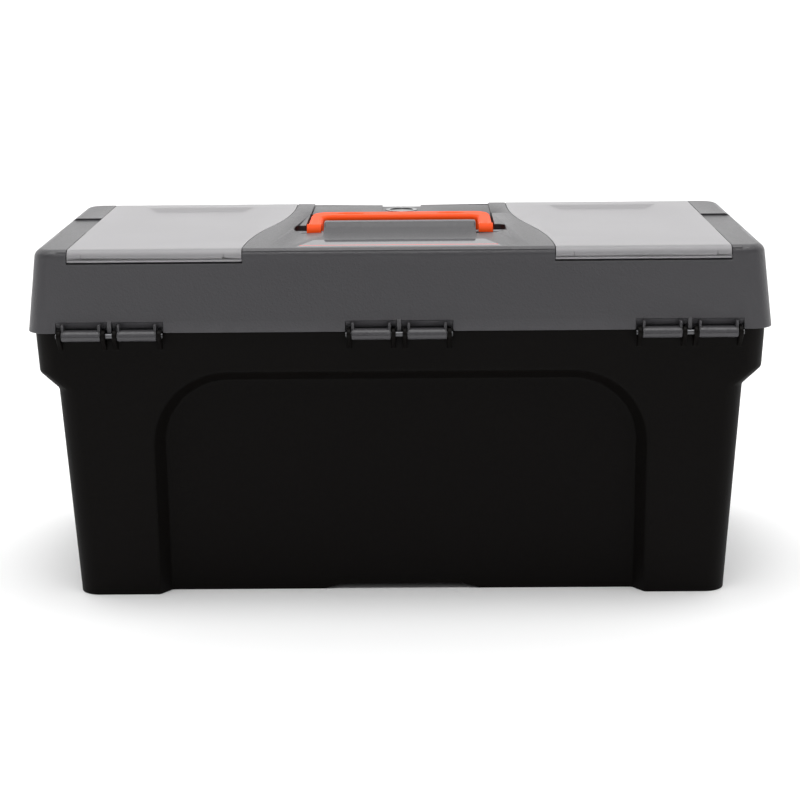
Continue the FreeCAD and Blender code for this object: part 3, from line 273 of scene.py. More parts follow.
def math_node(tree: bpy.types.NodeTree, operation: str, first: bpy.types.NodeSocket,
              second: bpy.types.NodeSocket | float) -> bpy.types.NodeSocket:
    """Add a Math node.

    Args:
        tree: The tree that it goes in.
        operation: The node's operation.
        first: The socket that feeds its first input.
        second: The socket or the number for its second input.

    Returns:
        The node's output socket.
    """
    node = tree.nodes.new("ShaderNodeMath")
    node.operation = operation
    tree.links.new(first, node.inputs[0])
    if isinstance(second, bpy.types.NodeSocket):
        tree.links.new(second, node.inputs[1])
    else:
        node.inputs[1].default_value = second
    return node.outputs["Value"]


EFFECTS = Effects()


# ---------------------------------------------------------------------------------------------
# Finishes
# ---------------------------------------------------------------------------------------------
@dataclass(frozen=True)
class Plastic:
    """An opaque moulded plastic.

    The grain is the tool's texture, as cells to the metre and a depth in metres.
    """

    name: str
    colour: Colour
    worn: Colour
    roughness: float = 0.5
    grain_scale: float = 900.0
    grain_depth: float = 0.00012
    mottle: float = 0.12
    wear: float = 0.5
    dust: float = 0.03
    specular: float = 0.5
    coat: float = 0.0

    def material(self) -> bpy.types.Material:
        """Build the finish's material once.

        Returns:
            The material.
        """
        found = bpy.data.materials.get(self.name)
        if found:
            return found
        material, shader = new_material(self.name)
        tree = material.node_tree
        shader.inputs["Specular IOR Level"].default_value = self.specular
        shader.inputs["Coat Weight"].default_value = self.coat
        shader.inputs["Coat Roughness"].default_value = 0.12
        mottle = use_group(tree, EFFECTS.mottle(), {"Color": (*self.colour, 1), "Amount": self.mottle,
                                                    "Scale": 7.0})
        wear = use_group(tree, EFFECTS.wear(), {"Worn": (*self.worn, 1), "Amount": self.wear})
        dust = use_group(tree, EFFECTS.dust(), {"Amount": self.dust})
        grain = use_group(tree, EFFECTS.grain(), {"Scale": self.grain_scale, "Depth": self.grain_depth})
        tree.links.new(mottle.outputs["Color"], wear.inputs["Color"])
        tree.links.new(wear.outputs["Color"], dust.inputs["Color"])
        tree.links.new(dust.outputs["Color"], shader.inputs["Base Color"])
        spread = math_node(tree, "MULTIPLY", grain.outputs["Mask"], 0.16)
        rough = math_node(tree, "ADD", spread, self.roughness - 0.08)
        polish = math_node(tree, "MULTIPLY", wear.outputs["Mask"], -0.2)
        tree.links.new(math_node(tree, "ADD", rough, polish), dust.inputs["Roughness"])
        tree.links.new(dust.outputs["Roughness"], shader.inputs["Roughness"])
        add_bump(tree, grain.outputs["Height"], shader)
        return material


@dataclass(frozen=True)
class Frosted:
    """The clear plastic of the organizer covers, lightly frosted by handling."""

    name: str
    colour: Colour
    roughness: float = 0.32
    clearness: float = 0.35

    def material(self) -> bpy.types.Material:
        """Build the finish's material once.

        Returns:
            The material.
        """
        found = bpy.data.materials.get(self.name)
        if found:
            return found
        material, shader = new_material(self.name)
        tree = material.node_tree
        shader.inputs["Transmission Weight"].default_value = self.clearness
        shader.inputs["IOR"].default_value = 1.49
        shader.inputs["Specular IOR Level"].default_value = 0.5
        mottle = use_group(tree, EFFECTS.mottle(), {"Color": (*self.colour, 1), "Amount": 0.05, "Scale": 9.0})
        wear = use_group(tree, EFFECTS.wear(), {"Worn": (*linear(232, 232, 234), 1), "Amount": 0.6})
        dust = use_group(tree, EFFECTS.dust(), {"Amount": 0.08})
        grain = use_group(tree, EFFECTS.grain(), {"Scale": 420.0, "Depth": 0.00003})
        tree.links.new(mottle.outputs["Color"], wear.inputs["Color"])
        tree.links.new(wear.outputs["Color"], dust.inputs["Color"])
        tree.links.new(dust.outputs["Color"], shader.inputs["Base Color"])
        spread = math_node(tree, "MULTIPLY", mottle.outputs["Mask"], 0.12)
        tree.links.new(math_node(tree, "ADD", spread, self.roughness), dust.inputs["Roughness"])
        tree.links.new(dust.outputs["Roughness"], shader.inputs["Roughness"])
        add_bump(tree, grain.outputs["Height"], shader)
        return material


@dataclass(frozen=True)
class Steel:
    """Drawn and darkly plated wire for the pins."""

    name: str
    colour: Colour
    roughness: float = 0.3

    def material(self) -> bpy.types.Material:
        """Build the finish's material once.

        Returns:
            The material.
        """
        found = bpy.data.materials.get(self.name)
        if found:
            return found
        material, shader = new_material(self.name)
        tree = material.node_tree
        shader.inputs["Metallic"].default_value = 1.0
        mottle = use_group(tree, EFFECTS.mottle(), {"Color": (*self.colour, 1), "Amount": 0.4,
                                                    "Scale": 120.0})
        wear = use_group(tree, EFFECTS.wear(), {"Worn": (*linear(190, 190, 192), 1), "Amount": 0.8})
        drawn = use_group(tree, EFFECTS.drawn(), {"Roughness": self.roughness})
        tree.links.new(mottle.outputs["Color"], wear.inputs["Color"])
        tree.links.new(wear.outputs["Color"], shader.inputs["Base Color"])
        tree.links.new(drawn.outputs["Roughness"], shader.inputs["Roughness"])
        add_bump(tree, drawn.outputs["Height"], shader)
        return material


@dataclass(frozen=True)
class Film:
    """A blank glossy label with two printed pinstripes across it.

    The stripes are given as the middle and the width of each along Y.
    """

    name: str
    colour: Colour
    stripes: tuple[tuple[float, float, Colour], ...]

    def material(self) -> bpy.types.Material:
        """Build the finish's material once.

        Returns:
            The material.
        """
        found = bpy.data.materials.get(self.name)
        if found:
            return found
        material, shader = new_material(self.name)
        tree = material.node_tree
        shader.inputs["Coat Weight"].default_value = 0.62
        shader.inputs["Coat Roughness"].default_value = 0.05
        shader.inputs["Specular IOR Level"].default_value = 0.0
        mottle = use_group(tree, EFFECTS.mottle(), {"Color": (*self.colour, 1), "Amount": 0.08, "Scale": 14.0})
        place = tree.nodes.new("ShaderNodeTexCoord")
        parts = tree.nodes.new("ShaderNodeSeparateXYZ")
        tree.links.new(place.outputs["Object"], parts.inputs["Vector"])
        ink = mottle.outputs["Color"]
        for middle, width, colour in self.stripes:
            offset = math_node(tree, "SUBTRACT", parts.outputs["Y"], middle)
            away = math_node(tree, "ABSOLUTE", offset, 0.0)
            mask = math_node(tree, "LESS_THAN", away, width / 2)
            blend = tree.nodes.new("ShaderNodeMix")
            blend.data_type = "RGBA"
            blend.inputs[7].default_value = (*colour, 1)
            tree.links.new(mask, blend.inputs[0])
            tree.links.new(ink, blend.inputs[6])
            ink = blend.outputs[2]
        tree.links.new(ink, shader.inputs["Base Color"])
        spread = math_node(tree, "MULTIPLY", mottle.outputs["Mask"], 0.1)
        tree.links.new(math_node(tree, "ADD", spread, 0.16), shader.inputs["Roughness"])
        grain = use_group(tree, EFFECTS.grain(), {"Scale": 160.0, "Depth": 0.00004})
        add_bump(tree, grain.outputs["Height"], shader)
        return material


Finish = Plastic | Frosted | Steel | Film


def new_material(name: str) -> tuple[bpy.types.Material, bpy.types.Node]:
    """Make an empty material.

    Args:
        name: The material's name.

    Returns:
        The material and its Principled shader.
    """
    material = bpy.data.materials.new(name)
    material.use_nodes = True
    return material, material.node_tree.nodes["Principled BSDF"]


def use_group(tree: bpy.types.NodeTree, group: bpy.types.NodeTree,
              values: dict[str, float | tuple[float, ...]]) -> bpy.types.Node:
    """Place a node group in a material with its own values.

    Args:
        tree: The material's tree.
        group: The shared group.
        values: The values of the group's unlinked inputs.

    Returns:
        The group node.
    """
    node = tree.nodes.new("ShaderNodeGroup")
    node.node_tree = group
    for socket, value in values.items():
        node.inputs[socket].default_value = value
    return node


def add_bump(tree: bpy.types.NodeTree, height: bpy.types.NodeSocket, shader: bpy.types.Node) -> None:
    """Feed a height in metres to the shader's normal.

    Args:
        tree: The material's tree.
        height: The socket that gives the height.
        shader: The shader that takes the normal.
    """
    bump = tree.nodes.new("ShaderNodeBump")
    bump.inputs["Strength"].default_value = 1.0
    bump.inputs["Distance"].default_value = 1.0
    tree.links.new(height, bump.inputs["Height"])
    tree.links.new(bump.outputs["Normal"], shader.inputs["Normal"])


TUB_BLACK = Plastic("black_tub_plastic", linear(5, 3, 2), linear(26, 22, 20), roughness=0.56,
                    grain_scale=700.0, grain_depth=0.00012, mottle=0.2, wear=0.35, dust=0.004,
                    specular=0.09)
LID_GREY = Plastic("grey_lid_plastic", linear(62, 61, 64), linear(104, 103, 106), roughness=0.42,
                   grain_scale=620.0, grain_depth=0.0003, mottle=0.08, wear=0.5, dust=0.03)
ORANGE = Plastic("orange_handle_plastic", linear(255, 80, 4), linear(255, 128, 50), roughness=0.55,
                 grain_scale=1100.0, grain_depth=0.00003, mottle=0.06, wear=0.5, dust=0.004,
                 specular=0.14)
TRAY_BLACK = Plastic("black_tray_plastic", linear(34, 33, 33), linear(88, 86, 84), roughness=0.55,
                     grain_scale=600.0, grain_depth=0.0001, mottle=0.15, wear=0.4, dust=0.03)
DIVIDER_GREY = Plastic("grey_divider_plastic", linear(128, 129, 132), linear(190, 190, 192),
                       roughness=0.45, grain_scale=1000.0, grain_depth=0.00004, dust=0.02)
BADGE_GREY = Plastic("glossy_badge_plastic", linear(34, 35, 38), linear(190, 190, 194), roughness=0.3,
                     grain_scale=900.0, grain_depth=0.00001, wear=1.0, coat=0.3)
COVER_CLEAR = Frosted("frosted_cover_plastic", linear(168, 166, 169))
PIN_STEEL = Steel("dark_pin_steel", linear(92, 92, 94))
LABEL_FILM = Film("blank_label_film", linear(92, 91, 94),
                  ((0.1010, 0.0024, linear(214, 30, 26)), (0.1115, 0.0030, linear(10, 10, 11))))


# ---------------------------------------------------------------------------------------------
# Bench work on meshes
# ---------------------------------------------------------------------------------------------
def clear_selection() -> None:
    """Deselect every object."""
    bpy.ops.object.select_all(action="DESELECT")


def take(piece: bpy.types.Object) -> None:
    """Make one object the only selected and the active one."""
    clear_selection()
    piece.select_set(True)
    bpy.context.view_layer.objects.active = piece


@contextmanager
def editing(piece: bpy.types.Object, mode: str = "EDGE") -> Iterator[bmesh.types.BMesh]:
    """Work on a piece in edit mode.

    Args:
        piece: The object to edit.
        mode: VERT, EDGE or FACE.

    Yields:
        The edit mesh, with nothing selected.
    """
    take(piece)
    bpy.ops.object.mode_set(mode="EDIT")
    bpy.ops.mesh.select_mode(type=mode)
    bpy.ops.mesh.select_all(action="DESELECT")
    yield bmesh.from_edit_mesh(piece.data)
    bpy.ops.object.mode_set(mode="OBJECT")


def select_edges(piece: bpy.types.Object, mesh: bmesh.types.BMesh,
                 wanted: Callable[[bmesh.types.BMEdge], bool]) -> int:
    """Select the edges that a test picks.

    Args:
        piece: The object in edit mode.
        mesh: Its edit mesh.
        wanted: The test on an edge.

    Returns:
        How many were selected.
    """
    count = 0
    for edge in mesh.edges:
        if wanted(edge):
            edge.select_set(True)
            count += 1
    bmesh.update_edit_mesh(piece.data)
    return count


def turn_of(edge: bmesh.types.BMEdge) -> float:
    """The angle between an edge's two faces, or 0 where it has one face."""
    return edge.calc_face_angle(0.0) if len(edge.link_faces) == 2 else 0.0


def traced(node: str, name: str) -> bpy.types.Object:
    """Copy a frame node's mesh into a new piece, with its seams merged and its flat faces whole.

    Args:
        node: The node that the piece stands for.
        name: The piece's name.

    Returns:
        The new piece.
    """
    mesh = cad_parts[node].data.copy()
    mesh.materials.clear()
    piece = bpy.data.objects.new(name, mesh)
    bpy.context.scene.collection.objects.link(piece)
    with editing(piece, "VERT"):
        bpy.ops.mesh.select_all(action="SELECT")
        bpy.ops.mesh.customdata_custom_splitnormals_clear()
        bpy.ops.mesh.remove_doubles(threshold=0.004 * MM)
        bpy.ops.mesh.dissolve_limited(angle_limit=math.radians(0.05))
    return piece


def surface_of(piece: bpy.types.Object) -> BVHTree:
    """The piece's surface as it is now, for measuring from."""
    return BVHTree.FromPolygons([v.co.copy() for v in piece.data.vertices],
                                [list(face.vertices) for face in piece.data.polygons])


def draw_in(piece: bpy.types.Object, before: BVHTree, reach: float) -> None:
    """Bring any point that a bevel threw off the old surface back to it.

    Args:
        piece: The piece.
        before: Its surface before the bevel.
        reach: How far from that surface a point may lie.
    """
    for vertex in piece.data.vertices:
        place, _, _, away = before.find_nearest(vertex.co)
        if away > reach:
            vertex.co = place


def round_edges(piece: bpy.types.Object, width: float, segments: int,
                wanted: Callable[[bmesh.types.BMEdge], bool]) -> None:
    """Round some edges of a piece in edit mode.

    Args:
        piece: The piece.
        width: How far the round reaches from the edge.
        segments: How many strips make the round.
        wanted: The test that picks the edges.
    """
    before = surface_of(piece)
    with editing(piece) as mesh:
        if select_edges(piece, mesh, wanted):
            bpy.ops.mesh.bevel(offset=width, segments=segments, profile=0.5, clamp_overlap=True)
    draw_in(piece, before, width / 2)


def soften(piece: bpy.types.Object, width: float, segments: int = 2, least: float = 30.0) -> None:
    """Give every edge that is still sharp the small round of a mould, and shade the piece smooth.

    Args:
        piece: The piece.
        width: The width of the round.
        segments: How many strips make the round.
        least: The least angle in degrees that counts as sharp.
    """
    before = surface_of(piece)
    take(piece)
    bevel = piece.modifiers.new("mould_round", "BEVEL")
    bevel.width = width
    bevel.segments = segments
    bevel.limit_method = "ANGLE"
    bevel.angle_limit = math.radians(least)
    bevel.use_clamp_overlap = False
    bpy.ops.object.modifier_apply(modifier=bevel.name)
    draw_in(piece, before, width / 2)
    shade(piece)


def shade(piece: bpy.types.Object) -> None:
    """Shade a piece smooth, with its large flat faces left flat."""
    take(piece)
    bpy.ops.object.shade_smooth()
    weigh = piece.modifiers.new("flat_faces", "WEIGHTED_NORMAL")
    weigh.keep_sharp = False
    weigh.weight = 60
    bpy.ops.object.modifier_apply(modifier=weigh.name)


def block(low: tuple[float, float, float], high: tuple[float, float, float]) -> bpy.types.Object:
    """Add a plain block between two corners, as a start or a cutter.

    Args:
        low: The lowest corner.
        high: The highest corner.

    Returns:
        The block, with its place in its mesh.
    """
    clear_selection()
    middle = [(a + b) / 2 for a, b in zip(low, high)]
    size = [b - a for a, b in zip(low, high)]
    bpy.ops.mesh.primitive_cube_add(size=1.0, location=middle, scale=size)
    made = bpy.context.object
    bpy.ops.object.transform_apply(location=True, rotation=True, scale=True)
    return made


def lens_cutter(middle: tuple[float, float, float], radii: tuple[float, float, float]) -> bpy.types.Object:
    """Add a flattened ball that scoops an oval recess.

    Args:
        middle: The middle of the ball.
        radii: Its three radii.

    Returns:
        The cutter, with its place in its mesh.
    """
    clear_selection()
    bpy.ops.mesh.primitive_uv_sphere_add(segments=40, ring_count=20, radius=1.0, location=middle,
                                         scale=radii)
    made = bpy.context.object
    bpy.ops.object.transform_apply(location=True, rotation=True, scale=True)
    return made


def carve(piece: bpy.types.Object, cutters: list[bpy.types.Object]) -> None:
    """Cut shapes out of a piece and throw the cutters away.

    Args:
        piece: The piece.
        cutters: The shapes to cut out, which don't touch each other.
    """
    take(cutters[0])
    for cutter in cutters:
        cutter.select_set(True)
    bpy.ops.object.join()
    tool = bpy.context.object
    take(piece)
    cut = piece.modifiers.new("carve", "BOOLEAN")
    cut.operation = "DIFFERENCE"
    cut.solver = "EXACT"
    cut.object = tool
    bpy.ops.object.modifier_apply(modifier=cut.name)
    bpy.data.objects.remove(tool)


def moulding(name: str, outline: list[tuple[float, float]], start: float, end: float) -> bpy.types.Object:
    """Draw an outline across the box and pull it out along X.

    Args:
        name: The piece's name.
        outline: The corners of the outline, as Y and Z.
        start: Where it starts along X.
        end: Where it ends along X.

    Returns:
        The new piece, with its faces pointing out.
    """
    clear_selection()
    bpy.ops.mesh.primitive_circle_add(vertices=len(outline), fill_type="NGON", location=(0, 0, 0))
    piece = bpy.context.object
    piece.name = name
    with editing(piece, "FACE") as mesh:
        mesh.verts.ensure_lookup_table()
        for vertex, (depth, level) in zip(mesh.verts, outline):
            vertex.co = (start, depth, level)
        bmesh.update_edit_mesh(piece.data)
        bpy.ops.mesh.select_all(action="SELECT")
        bpy.ops.mesh.extrude_region_move(TRANSFORM_OT_translate={"value": (end - start, 0, 0)})
        bpy.ops.mesh.select_all(action="SELECT")
        bpy.ops.mesh.normals_make_consistent(inside=False)
    return piece


def finish_piece(piece: bpy.types.Object, body: str, finish: Finish,
                 replaced: tuple[str, ...] = ()) -> bpy.types.Object:
    """Dress a piece, tie it to its body, hide the nodes that it stands for and log how far it stands out of
    them.

    Args:
        piece: The piece.
        body: The body that it rides on.
        finish: The finish that it gets.
        replaced: The frame nodes that it stands for.

    Returns:
        The piece.
    """
    piece.data.materials.clear()
    piece.data.materials.append(finish.material())
    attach(piece, body)
    if replaced:
        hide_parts(*replaced)
        boxes = [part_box(node) for node in replaced]
        proud = max(max(min(low[k] for low, _ in boxes) - min(v.co[k] for v in piece.data.vertices),
                        max(v.co[k] for v in piece.data.vertices) - max(high[k] for _, high in boxes))
                    for k in range(3))
        LOG.info("%s stands %.3f mm proud of its nodes", piece.name, proud / MM)
    LOG.info("%s: %d faces on %s", piece.name, len(piece.data.polygons), body)
    return piece


def kept_node(node: str, finish: Finish) -> None:
    """Dress a frame node that is shown as it is.

    Args:
        node: The node.
        finish: The finish that it gets.
    """
    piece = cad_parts[node]
    piece.data.materials.clear()
    piece.data.materials.append(finish.material())
    LOG.info("%s: kept", node)


# ---------------------------------------------------------------------------------------------
# Sub-assemblies
# ---------------------------------------------------------------------------------------------
@dataclass
class Tub:
    """The black tub with its arched panels, and the three hinge pins that stay in its ears."""

    broad_round: float = 2.6 * MM
    rim_round: float = 0.7 * MM

    def build(self) -> None:
        """Make the tub and its pins."""
        shell = traced("tub", "tub_shell")
        round_edges(shell, self.broad_round, 3, lambda edge: Edge.SOFT.holds(turn_of(edge))
                    and edge.calc_length() > 1.5 * MM and self.on_wall(edge))
        soften(shell, self.rim_round)
        finish_piece(shell, "tub", TUB_BLACK, ("tub",))
        for place in ("left", "centre", "right"):
            node = f"hinge_pin_{place}"
            pin = traced(node, f"hinge_wire_{place}")
            soften(pin, 0.4 * MM, 3)
            finish_piece(pin, "tub", PIN_STEEL, (node,))

    @staticmethod
    def on_wall(edge: bmesh.types.BMEdge) -> bool:
        """True for an edge on the tub's walls, below the hinge ears."""
        middle = (edge.verts[0].co + edge.verts[1].co) / 2
        return middle.z < 0.184 and abs(middle.y) < 0.1345


@dataclass
class Lid:
    """The grey lid with its bays, console and hinge barrels, and the dividers that stand in its bays."""

    crest_round: float = 3.0 * MM
    pocket_round: float = 4.0 * MM
    console_round: float = 1.5 * MM
    channel_round: float = 1.7 * MM
    edge_round: float = 0.55 * MM
    bridge_half: float = 60.0 * MM
    pocket_half: float = 84.0 * MM
    groove_half: float = 0.35 * MM
    groove_depth: float = 0.5 * MM

    def build(self) -> None:
        """Make the lid's shell, then the dividers and the pins that stay in it."""
        shell = traced("lid", "lid_shell")
        round_edges(shell, self.pocket_round, 5, self.pocket_corner)
        round_edges(shell, self.crest_round, 4, self.bridge_crest)
        round_edges(shell, self.console_round, 3, self.on_console)
        round_edges(shell, self.channel_round, 3, self.channel_edge)
        carve(shell, self.barrel_grooves())
        soften(shell, self.edge_round)
        finish_piece(shell, "lid", LID_GREY, ("lid",))
        for number, centre in enumerate(hinge_centres()):
            self.fairing(f"hinge_fairing_{number}", centre)
        for side in Side:
            for kind in ("long", "short_inner", "short_outer"):
                node = f"divider_{kind}_{side.word}"
                wall = traced(node, f"bay_wall_{kind}_{side.word}")
                soften(wall, 0.35 * MM)
                finish_piece(wall, "lid", DIVIDER_GREY, (node,))
            for kind in ("handle", "latch"):
                node = f"{kind}_pin_{side.word}"
                pin = traced(node, f"{kind}_wire_{side.word}")
                soften(pin, 0.4 * MM, 3)
                finish_piece(pin, "lid", PIN_STEEL, (node,))

    def pocket_corner(self, edge: bmesh.types.BMEdge) -> bool:
        """True for the upright corners of the two pockets beside the handle's arms."""
        first, last = edge.verts[0].co, edge.verts[1].co
        upright = abs(first.z - last.z) > 5 * MM and (first - last).xy.length < 0.2 * MM
        return upright and abs(abs(first.x) - self.pocket_half) < 0.3 * MM and abs(first.y) < 40 * MM

    def bridge_crest(self, edge: bmesh.types.BMEdge) -> bool:
        """True for the edges over the top of the bridge and down its two ends."""
        middle = (edge.verts[0].co + edge.verts[1].co) / 2
        on_top = middle.z > 0.2725 and abs(middle.x) < self.bridge_half + 0.2 * MM
        return on_top and turn_of(edge) > math.radians(15)

    @staticmethod
    def on_console(edge: bmesh.types.BMEdge) -> bool:
        """True for the upper edges of the handle well and its pockets."""
        middle = (edge.verts[0].co + edge.verts[1].co) / 2
        high = 0.2685 < middle.z < 0.2725 and abs(middle.x) < 0.0875 and -0.0600 < middle.y < 0.0345
        return high and turn_of(edge) > math.radians(50) and edge.is_convex

    @staticmethod
    def channel_edge(edge: bmesh.types.BMEdge) -> bool:
        """True for the steps at the ends of the two finger channels."""
        first, last = edge.verts[0].co, edge.verts[1].co
        across = abs(first.y - last.y) < 0.2 * MM and abs(first.x - last.x) > 1 * MM
        step = min(abs(first.y + 44 * MM), abs(first.y - 40 * MM)) < 0.3 * MM
        return across and step and abs(first.x) > 0.246 and min(first.z, last.z) > 0.266

    def barrel_grooves(self) -> list[bpy.types.Object]:
        """A fine groove along the rear of each hinge barrel."""
        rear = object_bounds()[1][1]
        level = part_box("hinge_pin_centre")
        middle = (level[0][2] + level[1][2]) / 2
        cutters = []
        for centre in hinge_centres():
            for hand in (1, -1):
                ends = sorted((centre + hand * 7.2 * MM, centre + hand * 34.6 * MM))
                cutters.append(block((ends[0], rear - self.groove_depth, middle - self.groove_half),
                                     (ends[1], rear + 1 * MM, middle + self.groove_half)))
        return cutters

    def fairing(self, name: str, centre: float) -> None:
        """The hollow curve over a pair of hinge barrels, which closes the scoop in the rear wall.

        Args:
            name: The piece's name.
            centre: The middle of the hinge set along X.
        """
        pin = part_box("hinge_pin_centre")
        foot = (pin[0][2] + pin[1][2]) / 2 + 1.7 * MM
        outline = [(0.1326, foot + 0.0026), (0.1335, foot + 0.0028), (0.1343, foot + 0.0046),
                   (0.1352, foot + 0.0064), (0.1361, foot + 0.0079), (0.1326, foot + 0.0079)]
        curve = moulding(name, outline, centre - 40.1 * MM, centre + 40.1 * MM)
        take(curve)
        bpy.ops.object.shade_smooth_by_angle(angle=math.radians(40))
        finish_piece(curve, "lid", LID_GREY)


def hinge_centres() -> list[float]:
    """The middles of the three hinge sets along X."""
    return [sum(corner[0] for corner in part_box(f"hinge_pin_{place}")) / 2
            for place in ("left", "centre", "right")]


@dataclass
class OrganizerCover:
    """One clear cover, with a sloping dish, a lip under its rear skirt and a seam near each end of it."""

    side: Side
    dish_floor_drop: float = 2.8 * MM
    slope: float = 9.0 * MM
    seam_inset: float = 13.5 * MM
    seam_half: float = 0.25 * MM
    lip_height: float = 1.9 * MM
    groove_depth: float = 0.35 * MM

    def build(self) -> None:
        """Make the cover's plate and cut the fine lines of its skirt."""
        node = f"organizer_cover_{self.side.word}"
        plate = traced(node, f"clear_cover_{self.side.word}")
        self.slope_dish(plate)
        carve(plate, self.skirt_lines(node))
        soften(plate, 0.4 * MM)
        finish_piece(plate, f"cover_{self.side.word}", COVER_CLEAR, (node,))

    def slope_dish(self, plate: bpy.types.Object) -> None:
        """Draw the floor of the dish in, so that its walls slope."""
        top = max(vertex.co.z for vertex in plate.data.vertices)
        with editing(plate, "VERT") as mesh:
            floor = [v for v in mesh.verts if -0.1 * MM < top - v.co.z - self.dish_floor_drop < 0.1 * MM
                     and abs(v.co.y) < 0.1065 and 0.124 < abs(v.co.x) < 0.219]
            middle = sum(v.co.x for v in floor) / len(floor)
            for vertex in floor:
                vertex.co.x += self.slope if vertex.co.x < middle else -self.slope
                vertex.co.y += self.slope
            bmesh.update_edit_mesh(plate.data)

    def skirt_lines(self, node: str) -> list[bpy.types.Object]:
        """The cutters for the seams near the skirt's ends and for the line over its lip.

        Args:
            node: The cover's node.

        Returns:
            The cutters.
        """
        low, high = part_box(node)
        inner, outer = sorted((abs(low[0]), abs(high[0])))
        inner = 117 * MM
        rear = high[1]
        cutters = []
        for place in (inner + self.seam_inset, outer - self.seam_inset):
            spot = self.side.value * place
            cutters.append(block((spot - self.seam_half, rear - self.groove_depth - 0.6 * MM,
                                  low[2] + self.lip_height + 0.6 * MM),
                                 (spot + self.seam_half, rear + 1 * MM, high[2] - 1.2 * MM)))
        ends = sorted((self.side.value * (inner - 1 * MM), self.side.value * (outer + 1 * MM)))
        line = low[2] + self.lip_height
        cutters.append(block((ends[0], rear - self.groove_depth, line - self.seam_half),
                             (ends[1], rear + 1 * MM, line + self.seam_half)))
        return cutters


@dataclass
class CarryHandle:
    """The orange folding handle, with an oval thumb recess near each end of its grip."""

    eye_round: float = 3.2 * MM
    recess_place: float = 41.0 * MM
    recess_radii: tuple[float, float, float] = (12.0 * MM, 5.5 * MM, 1.1 * MM)
    seam_place: float = 22.0 * MM
    seam_half: float = 0.2 * MM

    def build(self) -> None:
        """Make the handle."""
        grip = traced("handle", "carrying_handle")
        low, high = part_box("handle")
        round_edges(grip, self.eye_round, 4, self.eye_rim)
        middle = low[1] + 12.5 * MM
        cutters = [lens_cutter((side.value * self.recess_place, middle, high[2] + 0.2 * MM),
                               self.recess_radii) for side in Side]
        carve(grip, cutters)
        shade(grip)
        finish_piece(grip, "handle", ORANGE, ("handle",))

    @staticmethod
    def eye_rim(edge: bmesh.types.BMEdge) -> bool:
        """True for the outer rims of the eyes at the arms' ends."""
        first, last = edge.verts[0].co, edge.verts[1].co
        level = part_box("handle_pin_left")
        axis = Vector(((0, (level[0][1] + level[1][1]) / 2, (level[0][2] + level[1][2]) / 2)))
        far = all((Vector((0, point.y, point.z)) - axis).length > 6.5 * MM for point in (first, last))
        return (far and abs(first.x - last.x) < 0.1 * MM and min(first.y, last.y) > axis.y - 0.5 * MM
                and turn_of(edge) > math.radians(60))


@dataclass
class Latch:
    """One front latch."""

    side: Side

    def build(self) -> None:
        """Make the latch plate."""
        node = f"latch_{self.side.word}"
        plate = traced(node, f"front_latch_{self.side.word}")
        soften(plate, 0.6 * MM, 3)
        finish_piece(plate, node, ORANGE, (node,))


@dataclass
class Tray:
    """The lift-out tray and the handle clipped over its long partition."""

    def build(self) -> None:
        """Make the tray and its handle."""
        basin = traced("tray", "lift_out_tray")
        soften(basin, 0.6 * MM)
        finish_piece(basin, "tray", TRAY_BLACK, ("tray",))
        grip = traced("tray_handle", "tray_bail")
        soften(grip, 0.7 * MM, 3)
        finish_piece(grip, "tray", ORANGE, ("tray_handle",))


@dataclass
class Trim:
    """The blank label and the plain badge on the console."""

    def build(self) -> None:
        """Make the label and the badge."""
        label = traced("label", "blank_label")
        soften(label, 0.15 * MM)
        finish_piece(label, "lid", LABEL_FILM, ("label",))
        badge = traced("badge", "round_badge")
        soften(badge, 0.3 * MM, 3)
        finish_piece(badge, "lid", BADGE_GREY, ("badge",))


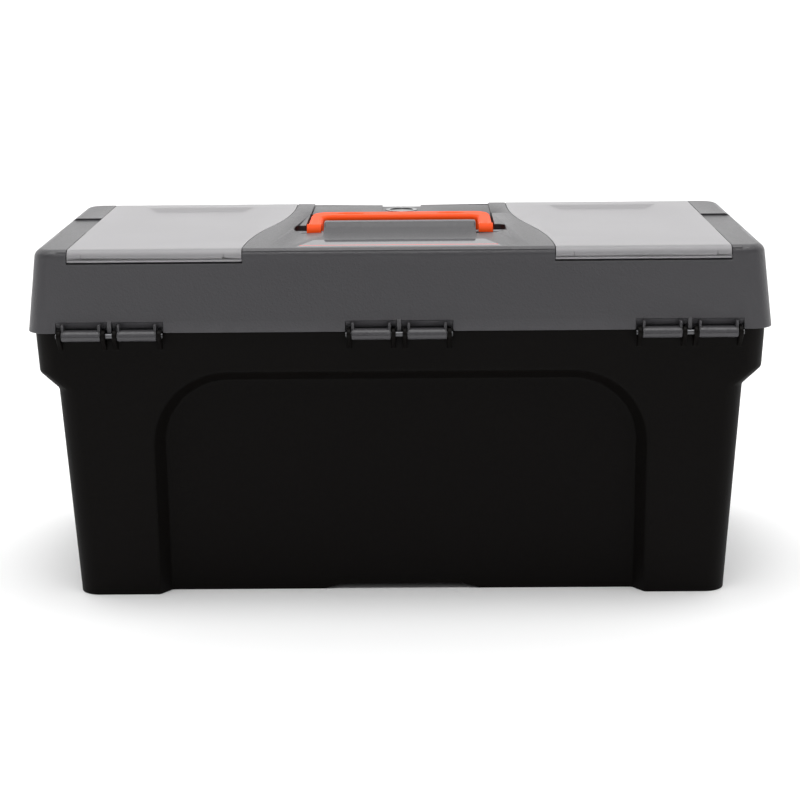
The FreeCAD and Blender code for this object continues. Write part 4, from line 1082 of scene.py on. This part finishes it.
@dataclass
class Studio:
    """A white floor, soft lights and the camera behind the box."""

    camera_place: tuple[float, float, float] = (-0.018, 1.604, 0.497)
    camera_aim: tuple[float, float, float] = (0.0122, -1.0, -0.2315)
    camera_roll: float = math.radians(-0.56)
    lens: float = 90.0
    near_side: float = 0.08
    far_side: float = 1.4
    overhead: float = 2.2
    key: float = 2.6

    def build(self) -> None:
        """Set up the floor, the light and the camera."""
        self.floor()
        self.lights()
        self.camera()

    def floor(self) -> None:
        """A pale floor that runs out of sight on every side."""
        clear_selection()
        bpy.ops.mesh.primitive_plane_add(size=40.0, location=(0, 0, 0))
        floor = bpy.context.object
        floor.name = "studio_floor"
        material, shader = new_material("pale_floor")
        shader.inputs["Base Color"].default_value = (0.95, 0.95, 0.95, 1)
        shader.inputs["Roughness"].default_value = 1.0
        shader.inputs["Specular IOR Level"].default_value = 0.0
        floor.data.materials.append(material)
        floor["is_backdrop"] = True

    def lights(self) -> None:
        """A white wall beyond the box, a wide light overhead and two weak ones beside the camera."""
        world = bpy.data.worlds.new("white_room")
        world.use_nodes = True
        tree = world.node_tree
        place = tree.nodes.new("ShaderNodeTexCoord")
        parts = tree.nodes.new("ShaderNodeSeparateXYZ")
        bright = tree.nodes.new("ShaderNodeMapRange")
        bright.interpolation_type = "SMOOTHSTEP"
        bright.inputs["From Min"].default_value = 0.5
        bright.inputs["From Max"].default_value = -0.7
        bright.inputs["To Min"].default_value = self.near_side
        bright.inputs["To Max"].default_value = self.far_side
        tree.links.new(place.outputs["Generated"], parts.inputs["Vector"])
        tree.links.new(parts.outputs["Y"], bright.inputs["Value"])
        tree.links.new(bright.outputs["Result"], tree.nodes["Background"].inputs["Strength"])
        tree.nodes["Background"].inputs["Color"].default_value = (1, 1, 1, 1)
        bpy.context.scene.world = world
        sky = bpy.data.lights.new("overhead", "SUN")
        sky.energy = self.overhead
        sky.angle = math.radians(50)
        lamp = bpy.data.objects.new("overhead", sky)
        lamp.rotation_euler = (math.radians(-9), 0, 0)
        bpy.context.scene.collection.objects.link(lamp)
        for name, place, size, power in (("key", (0.9, 1.9, 0.9), 0.9, self.key),
                                         ("fill", (-1.2, 1.8, 0.7), 0.9, self.key * 0.7)):
            data = bpy.data.lights.new(name, "AREA")
            data.size = size
            data.energy = power
            lamp = bpy.data.objects.new(name, data)
            lamp.location = place
            lamp.rotation_euler = (Vector((0, 0, 0.18)) - Vector(place)).to_track_quat("-Z", "Y").to_euler()
            bpy.context.scene.collection.objects.link(lamp)

    def camera(self) -> None:
        """A long lens behind the box, a little above its lid."""
        data = bpy.data.cameras.new("camera")
        data.lens = self.lens
        data.sensor_width = 36.0
        camera = bpy.data.objects.new("camera", data)
        aim = Vector(self.camera_aim).normalized()
        turn = aim.to_track_quat("-Z", "Y").to_matrix() @ Matrix.Rotation(self.camera_roll, 3, "Z")
        camera.location = self.camera_place
        camera.rotation_euler = turn.to_euler()
        bpy.context.scene.collection.objects.link(camera)
        bpy.context.scene.camera = camera


def main() -> None:
    """Build every sub-assembly in order, then the studio."""
    logging.basicConfig(level=logging.INFO, format="%(name)s %(message)s")
    Tub().build()
    Lid().build()
    for side in Side:
        OrganizerCover(side).build()
        Latch(side).build()
    CarryHandle().build()
    Tray().build()
    Trim().build()
    Studio().build()
    bpy.context.scene.view_settings.view_transform = "Standard"


if __name__ == "__main__":
    main()
